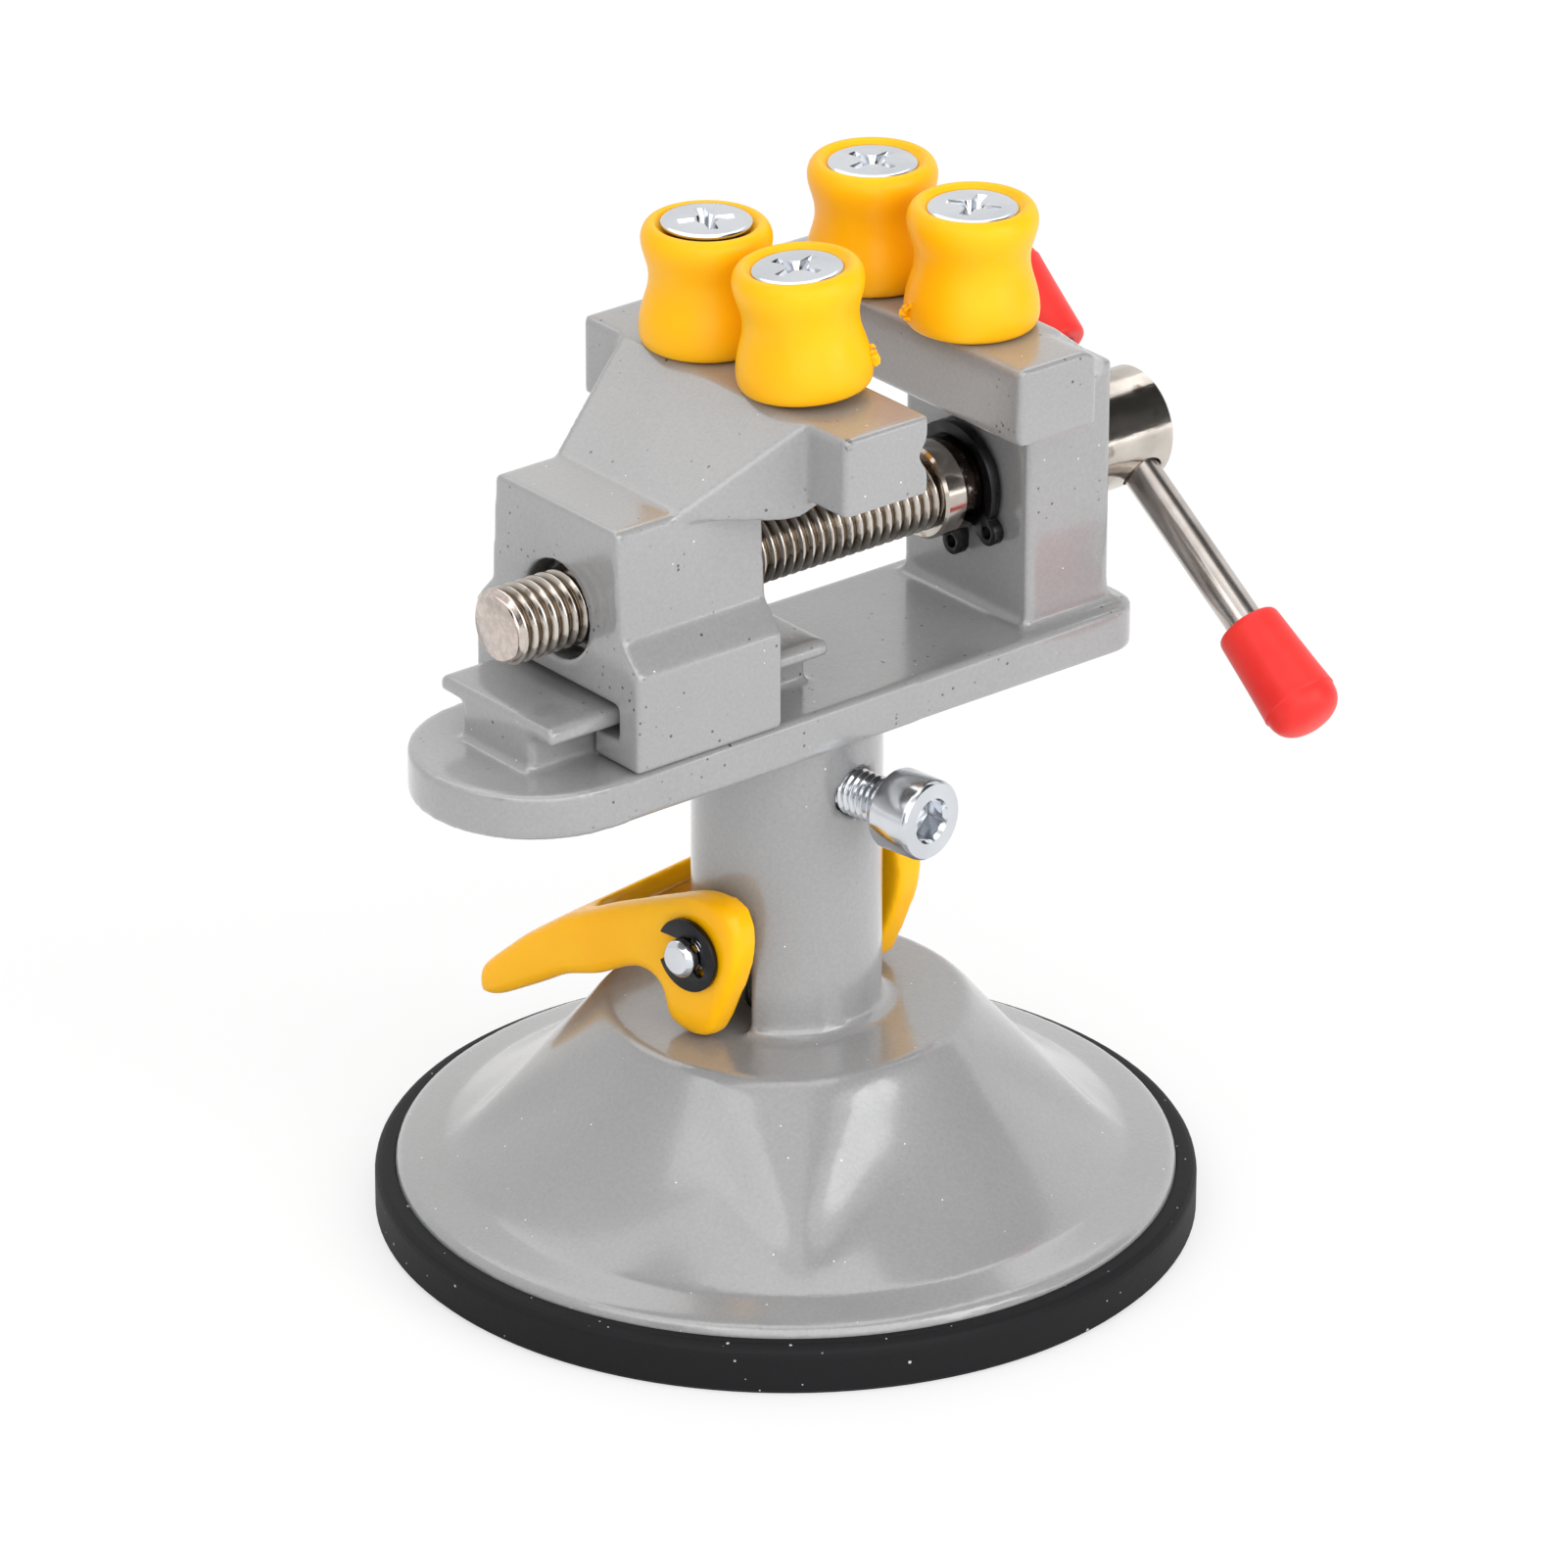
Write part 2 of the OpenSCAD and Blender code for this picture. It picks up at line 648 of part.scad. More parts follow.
// Hollow fillet along Y between the plate and an upright face at x, open to the given side
module root_fillet(x, side, r) {
    difference() {
        translate([side > 0 ? x - r / 2 : x - r, -body_half, plate_top - r / 2])
            cube([1.5 * r, 2 * body_half, 1.5 * r]);
        translate([x + side * r, 0, plate_top + r])
        rotate([90, 0, 0])
            cylinder(h = 2 * body_half + 2 * cut, r = r, center = true);
    }
}

module vise_frame() {
    step_z = fixed_top_z - head_h + nick;
    color([0.62, 0.62, 0.63])
    difference() {
        union() {
            plate();
            rail();
            translate([0, 0, post_bottom])
                cylinder(h = plate_z + nick - post_bottom, r = post_r);
            rounded_block(upright_x, upright_back, body_half, plate_top - cut, step_z, nick);
            root_fillet(upright_back, 1, 2 * edge_r);
            root_fillet(upright_x, -1, edge_r);
            translate([fixed_face, 0, 0])
            jaw_head(fixed_head_d, fixed_top_z, upright_x - fixed_face, step_z,
                upright_back - fixed_face - edge_r, head_back_r);
        }
        translate([upright_x - cut, 0, screw_z])
        rotate([0, 90, 0])
            cylinder(h = upright_t + 2 * cut, r = journal_r + shaft_gap);
        for (s = [-1, 1])
            translate([fixed_bobbin_x, s * bobbin_y, fixed_top_z - bolt_bite - nick])
                cylinder(h = bolt_bite + nick + cut, r = bolt_r + shaft_gap);
    }
}

module movable_jaw() {
    base_z = plate_top + slide_gap;
    skirt_z = plate_top + skirt_h;
    waist_z = skirt_z + skirt_slope;
    step_z = plate_top + step_top;
    slot_top = plate_top + rail_h + slot_gap;
    lip_top = plate_top + rail_h - flange_t - lip_gap;
    vee_z = move_top_z - head_h / 2;
    vee_out = vee_half * (vee_d + cut) / vee_d;
    foot_half = body_half + body_draft;
    color([0.62, 0.62, 0.63])
    difference() {
        union() {
            // Body with its skirt, drawn in Y and Z
            translate([move_front, 0, 0])
            rotate([90, 0, 90])
            linear_extrude(move_l)
            polygon([[-skirt_half, base_z], [skirt_half, base_z], [skirt_half, skirt_z],
                [foot_half, waist_z], [body_half, step_z - nick], [body_half - nick, step_z],
                [nick - body_half, step_z], [-body_half, step_z - nick], [-foot_half, waist_z],
                [-skirt_half, skirt_z]]);
            translate([move_face, 0, 0])
            mirror([1, 0, 0])
            jaw_head(move_head_d, move_top_z, head_over, step_z, move_face - move_front - step_l,
                nick);
        }
        // T slot over the rail
        translate([move_front - cut, -flange_half - slot_gap, lip_top])
            cube([move_l + 2 * cut, 2 * (flange_half + slot_gap), slot_top - lip_top]);
        translate([move_front - cut, -rail_stem_half - 2 * slide_gap, base_z - cut])
            cube([move_l + 2 * cut, 2 * rail_stem_half + 4 * slide_gap, lip_top - base_z + 2 * cut]);
        // V groove along the clamping face
        translate([move_face, 0, vee_z])
        side_prism([[cut, -vee_out], [-vee_d, 0], [cut, vee_out]], head_half + cut);
        translate([move_front - cut, 0, screw_z])
        rotate([0, 90, 0])
            cylinder(h = move_l + 2 * cut, r = screw_r + shaft_gap);
        translate([move_front - cut, 0, screw_z])
        rotate([0, 90, 0])
            cylinder(h = recess_d + cut, r = recess_r);
        for (s = [-1, 1])
            translate([move_bobbin_x, s * bobbin_y, move_top_z - bolt_bite - nick])
                cylinder(h = bolt_bite + nick + cut, r = bolt_r + shaft_gap);
    }
}

module lead_screw() {
    groove_r = journal_r - steel_chamfer;
    groove_end = ring_x + ring_t + 2 * shaft_gap;
    color([0.66, 0.64, 0.6])
    translate([0, 0, screw_z])
    difference() {
        turned([[-screw_front, screw_r - steel_chamfer], [steel_chamfer - screw_front, screw_r],
            [journal_x, screw_r], [journal_x, journal_r - nick], [journal_x + nick, journal_r],
            [ring_x - 2 * shaft_gap, journal_r], [ring_x - 2 * shaft_gap, groove_r],
            [groove_end, groove_r], [groove_end, journal_r], [hub_x, journal_r],
            [hub_x, hub_r - nick], [hub_x + nick, hub_r], [hub_end - steel_chamfer, hub_r],
            [hub_end, hub_r - steel_chamfer]]);
        translate([bar_x, 0, 0])
        rotate([bar_tilt, 0, 0])
        rotate([90, 0, 0])
            cylinder(h = 2 * hub_r + 2 * cut, r = bar_r + shaft_gap, center = true);
    }
}

// Snap ring with two lugs, their plier holes and an open wedge between them
module retaining_ring() {
    seat_r = journal_r - steel_chamfer + shaft_gap;
    lug_r = ring_r * lug_share;
    lug_at = ring_r + lug_r / 3;
    color([0.05, 0.05, 0.05])
    translate([ring_x, 0, screw_z])
    rotate([0, 90, 0])
    linear_extrude(ring_t)
    rotate(-ring_turn)
    difference() {
        union() {
            circle(ring_r);
            for (s = [-1, 1])
                rotate(s * lug_spread) {
                    translate([0, -lug_r]) square([lug_at, 2 * lug_r]);
                    translate([lug_at, 0]) circle(lug_r);
                }
        }
        circle(seat_r);
        polygon([[0, 0], 2 * ring_r * [cos(lug_spread / 2), sin(lug_spread / 2)],
            2 * ring_r * [cos(lug_spread / 2), -sin(lug_spread / 2)]]);
        for (s = [-1, 1])
            rotate(s * lug_spread) translate([lug_at, 0]) circle(lug_r / 2);
    }
}

// Places a piece along the bar, with +Z of the piece along the bar's near end
module on_bar() {
    translate([bar_x, 0, screw_z])
    rotate([bar_tilt, 0, 0])
    rotate([90, 0, 0])
    translate([0, 0, bar_shift])
    children();
}

module tommy_bar() {
    bar_l = 2 * (cap_mouth_at + cap_depth);
    color([0.7, 0.68, 0.65])
    on_bar()
    cylinder(h = bar_l, r = bar_r, center = true);
}

module bar_cap(side) {
    dome_r = cap_end_r;
    color([0.85, 0.1, 0.12])
    on_bar()
    scale([1, 1, side])
    rotate_extrude()
    polygon(concat(
        [[bar_r, cap_mouth_at], [cap_mouth_r - nick, cap_mouth_at],
            [cap_mouth_r, cap_mouth_at + nick]],
        [[dome_r, bar_half - dome_r]],
        arc([0, bar_half - dome_r], dome_r, 15, 90, 6),
        [[0, cap_mouth_at + cap_depth], [bar_r, cap_mouth_at + cap_depth]]));
}

// Waisted bobbin with a recess for the screw's head
module bobbin(x, y, z) {
    rim = bobbin_r - waist_r;
    recess = bolt_head_r + shaft_gap + nick / 2;
    bore = bolt_r + shaft_gap;
    low_z = nick + slide_gap;
    side_h = bobbin_h - 2 * nick - low_z;
    waist_pow = log(0.5) / log(waist_share);
    color([1, 0.75, 0.15])
    translate([x, y, z])
    rotate_extrude()
    polygon(concat(
        [[bore, 0], [bobbin_r - nick, 0], [bobbin_r, nick]],
        [for (i = [0:12]) let (t = i / 12)
            [waist_r + rim * pow(cos(180 * pow(t, waist_pow)), 2), low_z + side_h * t]],
        [[bobbin_r, bobbin_h - nick], [bobbin_r - nick, bobbin_h]],
        [[recess, bobbin_h], [recess, bobbin_h - nick], [bore, bobbin_h - nick - recess + bore]]));
}

// Countersunk screw that holds a bobbin
module bobbin_screw(x, y, z) {
    head_t = bolt_head_r - bolt_r;
    head_z = bobbin_h - nick + shaft_gap;
    color([0.78, 0.79, 0.8])
    translate([x, y, z])
    rotate_extrude()
    polygon([[0, -bolt_bite], [bolt_r - nick, -bolt_bite], [bolt_r, nick - bolt_bite],
        [bolt_r, head_z - head_t], [bolt_head_r, head_z], [bolt_head_r, head_z + nick / 2],
        [0, head_z + nick]]);
}

suction_cup();
base_casting();
pull_stem();
return_spring();
lever_pin();
pin_clip(-1);  // pin_clip_near
pin_clip(1);  // pin_clip_far
cam_lever();
clamp_screw();
vise_frame();
movable_jaw();
lead_screw();
retaining_ring();
tommy_bar();
bar_cap(1);  // bar_cap_near
bar_cap(-1);  // bar_cap_far
bobbin(fixed_bobbin_x, -bobbin_y, fixed_top_z);  // fixed_bobbin_near
bobbin(fixed_bobbin_x, bobbin_y, fixed_top_z);  // fixed_bobbin_far
bobbin(move_bobbin_x, -bobbin_y, move_top_z);  // movable_bobbin_near
bobbin(move_bobbin_x, bobbin_y, move_top_z);  // movable_bobbin_far
for (s = [-1, 1]) bobbin_screw(fixed_bobbin_x, s * bobbin_y, fixed_top_z);  // fixed_bobbin_screws
for (s = [-1, 1]) bobbin_screw(move_bobbin_x, s * bobbin_y, move_top_z);  // movable_bobbin_screws
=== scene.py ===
import bpy
import bmesh
import math
from mathutils import Matrix, Vector


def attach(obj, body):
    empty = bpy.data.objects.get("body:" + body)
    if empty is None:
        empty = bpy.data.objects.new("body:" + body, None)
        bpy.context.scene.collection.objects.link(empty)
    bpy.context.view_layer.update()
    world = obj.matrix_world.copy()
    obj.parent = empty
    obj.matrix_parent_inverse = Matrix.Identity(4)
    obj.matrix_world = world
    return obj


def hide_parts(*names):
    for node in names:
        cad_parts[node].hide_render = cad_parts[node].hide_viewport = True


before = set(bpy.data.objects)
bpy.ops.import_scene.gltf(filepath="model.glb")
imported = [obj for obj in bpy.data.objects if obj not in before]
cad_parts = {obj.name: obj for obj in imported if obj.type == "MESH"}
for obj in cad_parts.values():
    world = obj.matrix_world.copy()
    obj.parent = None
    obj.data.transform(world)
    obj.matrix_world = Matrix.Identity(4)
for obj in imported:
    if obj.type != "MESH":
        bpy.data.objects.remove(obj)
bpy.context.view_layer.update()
mm = 0.001
screwHeight = 75.1  # the lead screw's axis over the table, in mm
barTilt = 34.5  # how far the tommy bar hangs down, in degrees
rimRadius = 6.85  # a bobbin at its widest


# Small helpers for working as by hand
def objectMode():
    bpy.ops.object.mode_set(mode="OBJECT")


def dropAll():
    if bpy.context.mode != "OBJECT":
        objectMode()
    bpy.ops.object.select_all(action="DESELECT")


def editMode(obj, on=True):
    dropAll()
    obj.select_set(True)
    bpy.context.view_layer.objects.active = obj
    if on:
        bpy.ops.object.mode_set(mode="EDIT")


def applyModifiers(obj):
    editMode(obj, False)
    for name in [m.name for m in obj.modifiers]:
        bpy.ops.object.modifier_apply(modifier=name)


def smoothPiece(obj, angle=32):
    editMode(obj, False)
    bpy.ops.object.shade_smooth_by_angle(angle=math.radians(angle))


def vertexStart(name, point):
    # A plane merged to one vertex, which is then drawn out like a pen line
    dropAll()
    bpy.ops.mesh.primitive_plane_add(size=mm, location=(0, 0, 0))
    obj = bpy.context.active_object
    obj.name = name
    editMode(obj)
    bpy.ops.mesh.select_all(action="SELECT")
    bpy.ops.mesh.merge(type="CENTER")
    bpy.ops.transform.translate(value=[c * mm for c in point])
    return obj


def drawLine(points):
    last = points[0]
    for p in points[1:]:
        step = [(a - b) * mm for a, b in zip(p, last)]
        bpy.ops.mesh.extrude_region_move(TRANSFORM_OT_translate={"value": step})
        last = p


def turnedPiece(name, outline, steps=72):
    # Outline is a list of (radius, height) in mm, spun about Z
    obj = vertexStart(name, (outline[0][0], 0, outline[0][1]))
    drawLine([(r, 0, z) for r, z in outline])
    bpy.ops.mesh.select_all(action="SELECT")
    bpy.ops.mesh.spin(steps=steps, angle=2 * math.pi, center=(0, 0, 0), axis=(0, 0, 1))
    bpy.ops.mesh.select_all(action="SELECT")
    bpy.ops.mesh.remove_doubles(threshold=0.002 * mm)
    bpy.ops.mesh.normals_make_consistent(inside=False)
    objectMode()
    return obj


def placeMesh(obj, matrix):
    # The place goes into the mesh, and the object stays at the origin
    obj.data.transform(matrix)
    obj.data.update()


def turnTo(axis, at):
    z = Vector(axis).normalized()
    return Matrix.Translation(Vector(at) * mm) @ z.to_track_quat("Z", "Y").to_matrix().to_4x4()


def copyNode(node, name):
    # A copy of a CAD node's mesh with its loose triangles merged
    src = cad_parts[node]
    obj = src.copy()
    obj.data = src.data.copy()
    obj.name = name
    obj.parent = None
    obj.matrix_world = Matrix.Identity(4)
    bpy.context.scene.collection.objects.link(obj)
    obj.data.materials.clear()
    editMode(obj)
    bpy.ops.mesh.select_all(action="SELECT")
    bpy.ops.mesh.remove_doubles(threshold=0.004 * mm)
    bpy.ops.mesh.normals_make_consistent(inside=False)
    objectMode()
    return obj


def castPiece(node, name, voxel, rounds):
    # Voxel skin over the machined shape, relaxed so that all edges come out cast
    obj = copyNode(node, name)
    skin = obj.modifiers.new("skin", "REMESH")
    skin.mode = "VOXEL"
    skin.voxel_size = voxel * mm
    skin.use_smooth_shade = True
    relax = obj.modifiers.new("relax", "SMOOTH")
    relax.factor = 0.5
    relax.iterations = rounds
    applyModifiers(obj)
    print("cast", name, len(obj.data.polygons))
    return obj


def finishPiece(obj, body, material, slot, *nodes):
    obj.data.materials.clear()
    obj.data.materials.append(material)
    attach(obj, body)
    if nodes:
        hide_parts(*nodes)
    return obj


# Materials
def newMaterial(name):
    mat = bpy.data.materials.new(name)
    mat.use_nodes = True
    tree = mat.node_tree
    shader = next(n for n in tree.nodes if n.type == "BSDF_PRINCIPLED")
    return mat, tree, shader


def link(tree, a, b):
    tree.links.new(a, b)


def noiseOn(tree, coords, scale, detail=3, rough=0.5):
    n = tree.nodes.new("ShaderNodeTexNoise")
    n.inputs["Scale"].default_value = scale
    n.inputs["Detail"].default_value = detail
    n.inputs["Roughness"].default_value = rough
    link(tree, coords, n.inputs["Vector"])
    return n.outputs["Fac"]


def rampOn(tree, value, low, high, a=0.0, b=1.0):
    n = tree.nodes.new("ShaderNodeMapRange")
    n.inputs["From Min"].default_value = low
    n.inputs["From Max"].default_value = high
    n.inputs["To Min"].default_value = a
    n.inputs["To Max"].default_value = b
    link(tree, value, n.inputs["Value"])
    return n.outputs["Result"]


def mathOn(tree, kind, a, b):
    n = tree.nodes.new("ShaderNodeMath")
    n.operation = kind
    for socket, value in zip(n.inputs, (a, b)):
        if isinstance(value, (int, float)):
            socket.default_value = value
        else:
            link(tree, value, socket)
    return n.outputs[0]


def mixColour(tree, fac, a, b):
    n = tree.nodes.new("ShaderNodeMix")
    n.data_type = "RGBA"
    link(tree, fac, n.inputs["Factor"])
    for socket, value in ((n.inputs[6], a), (n.inputs[7], b)):
        if isinstance(value, tuple):
            socket.default_value = (*value, 1)
        else:
            link(tree, value, socket)
    return n.outputs[2]


def specksOn(tree, coords, scale, size, share):
    # Rare round specks: one per cell, of which a share is kept
    n = tree.nodes.new("ShaderNodeTexVoronoi")
    n.inputs["Scale"].default_value = scale
    link(tree, coords, n.inputs["Vector"])
    near = rampOn(tree, n.outputs["Distance"], size * 0.6, size, 1, 0)
    pick = tree.nodes.new("ShaderNodeSeparateColor")
    link(tree, n.outputs["Color"], pick.inputs[0])
    kept = mathOn(tree, "LESS_THAN", pick.outputs[0], share)
    return mathOn(tree, "MULTIPLY", near, kept)


def bumpOn(tree, shader, height, strength, distance, before=None):
    n = tree.nodes.new("ShaderNodeBump")
    n.inputs["Strength"].default_value = strength
    n.inputs["Distance"].default_value = distance
    link(tree, height, n.inputs["Height"])
    if before:
        link(tree, before, n.inputs["Normal"])
    link(tree, n.outputs["Normal"], shader.inputs["Normal"])
    return n.outputs["Normal"]


def objectCoords(tree):
    return tree.nodes.new("ShaderNodeTexCoord").outputs["Object"]


def axisRange(tree, coords):
    # Distance from the lead screw's axis, and the place along it, both in mm
    split = tree.nodes.new("ShaderNodeSeparateXYZ")
    link(tree, coords, split.inputs[0])
    along = mathOn(tree, "MULTIPLY", split.outputs[0], 1000)
    across = mathOn(tree, "MULTIPLY", split.outputs[1], 1000)
    lift = mathOn(tree, "MULTIPLY", mathOn(tree, "SUBTRACT", split.outputs[2], screwHeight * mm), 1000)
    across = mathOn(tree, "MULTIPLY", across, across)
    lift = mathOn(tree, "MULTIPLY", lift, lift)
    return mathOn(tree, "SQRT", mathOn(tree, "ADD", across, lift), 0), along


paint = {
    "colour": (0.3, 0.3, 0.303),
    "shade": (0.25, 0.25, 0.253),
    "pit": (0.04, 0.037, 0.037),
    "dust": (0.85, 0.85, 0.85),
    "roughness": 0.3,
    "coatIndex": 1.62,
    "coatRoughness": 0.14,
    "cloudScale": 55,
    "patchScale": 90,
    "peelScale": 300,
    "peelBump": 0.16,
    "pitScale": 980,
    "pitBump": 0.5,
    "dustScale": 1100,
    "grainScale": 2600,
    "grainBump": 0.3,
    "cleanBelow": (0.055, 0.058),
    "basePits": 0.12,
    "chip": (-9.3, -20.5, 94.2),
    "chipSize": 0.8,
    "chipScale": 1300,
    # Painted shade in the bores round the lead screw: radii in mm, then its dark colour
    "bore": (5.0, 5.16),
    "boreShadeColour": (0.03, 0.028, 0.026),
}


def paintedCasting():
    mat, tree, shader = newMaterial("paintedCasting")
    coords = objectCoords(tree)
    cloud = noiseOn(tree, coords, paint["cloudScale"], 3)
    fine = noiseOn(tree, coords, paint["grainScale"], 2, 0.5)
    tone = mathOn(tree, "ADD", rampOn(tree, cloud, 0.35, 0.7, 0, 0.4), rampOn(tree, fine, 0.3, 0.7, 0, 0.6))
    colour = mixColour(tree, tone, paint["colour"], paint["shade"])
    patch = rampOn(tree, noiseOn(tree, coords, paint["patchScale"], 2), 0.5, 0.6)
    pits = mathOn(tree, "MULTIPLY", specksOn(tree, coords, paint["pitScale"], 0.19, 0.42), patch)
    lone = specksOn(tree, coords, paint["pitScale"] * 0.6, 0.12, 0.12)
    pits = mathOn(tree, "MAXIMUM", pits, lone)
    # The head's castings are pitted, and the base hardly
    split = tree.nodes.new("ShaderNodeSeparateXYZ")
    link(tree, coords, split.inputs[0])
    headOnly = rampOn(tree, split.outputs[2], *paint["cleanBelow"], paint["basePits"], 1)
    pits = mathOn(tree, "MULTIPLY", pits, headOnly)
    # One knock at a corner of the movable jaw's head
    reach = tree.nodes.new("ShaderNodeVectorMath")
    reach.operation = "DISTANCE"
    link(tree, coords, reach.inputs[0])
    reach.inputs[1].default_value = [c * mm for c in paint["chip"]]
    size = paint["chipSize"] * mm
    knock = rampOn(tree, reach.outputs["Value"], size * 0.4, size, 1, 0)
    ragged = rampOn(tree, noiseOn(tree, coords, paint["chipScale"], 4, 0.7), 0.5, 0.56)
    pits = mathOn(tree, "MAXIMUM", pits, mathOn(tree, "MULTIPLY", knock, ragged))
    colour = mixColour(tree, pits, colour, paint["pit"])
    dust = specksOn(tree, coords, paint["dustScale"], 0.12, 0.05)
    colour = mixColour(tree, dust, colour, paint["dust"])
    # Painted shade in the bores round the lead screw: everything within the bore radius of its axis is
    # darkened
    away, along = axisRange(tree, coords)
    colour = mixColour(tree, rampOn(tree, away, *paint["bore"], 1, 0), colour, paint["boreShadeColour"])
    link(tree, colour, shader.inputs["Base Color"])
    shader.inputs["Roughness"].default_value = paint["roughness"]
    shader.inputs["Coat Weight"].default_value = 1.0
    shader.inputs["Coat IOR"].default_value = paint["coatIndex"]
    shader.inputs["Coat Roughness"].default_value = paint["coatRoughness"]
    peel = noiseOn(tree, coords, paint["peelScale"], 3, 0.55)
    normal = bumpOn(tree, shader, peel, paint["peelBump"], 0.5 * mm)
    normal = bumpOn(tree, shader, fine, paint["grainBump"], 0.08 * mm, normal)
    bumpOn(tree, shader, mathOn(tree, "SUBTRACT", 1.0, pits), paint["pitBump"], 0.12 * mm, normal)
    return mat


plastics = {
    "yellowPlastic": {"colour": (0.97, 0.5, 0.004), "shade": (0.96, 0.455, 0.003),
                      "roughness": 0.36, "glow": 0.04},
    "leverPlastic": {"colour": (0.98, 0.5, 0.001), "shade": (0.97, 0.46, 0.001),
                     "roughness": 0.26, "glow": 0.12},
    "redVinyl": {"colour": (0.8, 0.04, 0.032), "shade": (0.72, 0.025, 0.022),
                 "roughness": 0.36, "glow": 0.04},
    "dust": (0.9, 0.85, 0.75),
    "cloudScale": 140,
    "dustScale": 900,
    "skinScale": 700,
}


def plasticMaterial(name):
    look = plastics[name]
    mat, tree, shader = newMaterial(name)
    coords = objectCoords(tree)
    cloud = noiseOn(tree, coords, plastics["cloudScale"], 2)
    tone = mixColour(tree, rampOn(tree, cloud, 0.3, 0.7), look["colour"], look["shade"])
    dust = specksOn(tree, coords, plastics["dustScale"], 0.09, 0.03)
    tone = mixColour(tree, dust, tone, plastics["dust"])
    link(tree, tone, shader.inputs["Base Color"])
    shader.inputs["Roughness"].default_value = look["roughness"]
    shader.inputs["Specular IOR Level"].default_value = 0.22
    shader.inputs["Subsurface Weight"].default_value = look["glow"]
    shader.inputs["Subsurface Radius"].default_value = (3 * mm, 1.5 * mm, 0.6 * mm)
    shader.inputs["Subsurface Scale"].default_value = 0.6
    fine = noiseOn(tree, coords, plastics["skinScale"], 3)
    bumpOn(tree, shader, fine, 0.1, 0.2 * mm)
    return mat


# Marks on the lead screw: darker thread grooves, a smeared darker band by the ring, and a dull speckled end
# face
screwMarks = {
    "threadEnd": 16.8,
    "groove": (3.42, 3.8),
    "grooveTone": (0.1, 0.07, 0.045),
    "bandFrom": 19.3,
    "bandTo": 24.5,
    "bandTone": (0.03, 0.022, 0.018),
    "face": -36.2,
    "dull": (0.5, 0.43, 0.39),
    "speck": (0.6, 0.53, 0.49),
}
metals = {
    "nickelPlate": {"colour": (0.58, 0.54, 0.48), "shade": (0.44, 0.4, 0.35), "roughness": 0.13,
                    "grain": (250, 1800, 1800), "bump": 0.2, "stain": (0.26, 0.22, 0.18)},
    "barNickel": {"colour": (0.6, 0.55, 0.52), "shade": (0.4, 0.36, 0.33), "roughness": 0.22,
                  "grain": (1700, 60, 1700), "bump": 0.25, "lean": barTilt},
    "screwNickel": {"colour": (0.58, 0.54, 0.49), "shade": (0.42, 0.38, 0.34), "roughness": 0.13,
                    "grain": (250, 1800, 1800), "bump": 0.2, "stain": (0.26, 0.22, 0.18),
                    "marks": screwMarks},
    "zincPlate": {"colour": (0.66, 0.68, 0.71), "shade": (0.58, 0.6, 0.63), "roughness": 0.15,
                  "grain": (700, 700, 700), "bump": 0.06},
    "turnedSteel": {"colour": (0.62, 0.62, 0.62), "shade": (0.52, 0.52, 0.52), "roughness": 0.3,
                    "grain": (1200, 1200, 300), "bump": 0.2},
    "blackOxide": {"colour": (0.04, 0.04, 0.042), "shade": (0.025, 0.025, 0.027), "roughness": 0.35,
                   "grain": (900, 900, 900), "bump": 0.15},
}


def markedScrew(tree, coords, tone, marks):
    # Darker brown in the thread's grooves
    away, along = axisRange(tree, coords)
    thread = mathOn(tree, "LESS_THAN", along, marks["threadEnd"])
    groove = mathOn(tree, "MULTIPLY", rampOn(tree, away, *marks["groove"], 1, 0), thread)
    tone = mixColour(tree, groove, tone, marks["grooveTone"])
    # A smeared darker band beside the retaining ring
    near = mathOn(tree, "GREATER_THAN", along, marks["bandFrom"])
    near = mathOn(tree, "MULTIPLY", near, mathOn(tree, "LESS_THAN", along, marks["bandTo"]))
    smear = rampOn(tree, noiseOn(tree, coords, 1100, 4, 0.7), 0.3, 0.42, 0.5, 1)
    tone = mixColour(tree, mathOn(tree, "MULTIPLY", near, smear), tone, marks["bandTone"])
    # A dull speckled end face
    face = mathOn(tree, "LESS_THAN", along, marks["face"])
    specks = rampOn(tree, noiseOn(tree, coords, 1500, 3, 0.6), 0.42, 0.6)
    return mixColour(tree, face, tone, mixColour(tree, specks, marks["dull"], marks["speck"]))


def metalMaterial(name):
    look = metals[name]
    mat, tree, shader = newMaterial(name)
    coords = objectCoords(tree)
    upright = tree.nodes.new("ShaderNodeMapping")
    upright.inputs["Rotation"].default_value = (math.radians(-look.get("lean", 0)), 0, 0)
    link(tree, coords, upright.inputs["Vector"])
    stretch = tree.nodes.new("ShaderNodeMapping")
    stretch.inputs["Scale"].default_value = look["grain"]
    link(tree, upright.outputs["Vector"], stretch.inputs["Vector"])
    lines = noiseOn(tree, stretch.outputs["Vector"], 1, 4, 0.6)
    cloud = noiseOn(tree, coords, 180, 3)
    tone = mixColour(tree, rampOn(tree, cloud, 0.35, 0.65), look["colour"], look["shade"])
    if "stain" in look:
        spots = rampOn(tree, noiseOn(tree, coords, 420, 4), 0.6, 0.72)
        tone = mixColour(tree, spots, tone, look["stain"])
    if "marks" in look:
        tone = markedScrew(tree, coords, tone, look["marks"])
    link(tree, tone, shader.inputs["Base Color"])
    shader.inputs["Metallic"].default_value = 1
    rough = rampOn(tree, lines, 0.3, 0.7, look["roughness"] * 0.75, look["roughness"] * 1.3)
    link(tree, rough, shader.inputs["Roughness"])
    bumpOn(tree, shader, lines, look["bump"], 0.08 * mm)
    return mat


cupRubber = {
    "colour": (0.005, 0.005, 0.006),
    "dust": (0.5, 0.5, 0.5),
    "roughness": 0.62,
    "coarse": (420, 0.085, 0.25),  # specks: scale, size and share
    "fine": (900, 0.1, 0.2),
    "skinScale": 900,
}


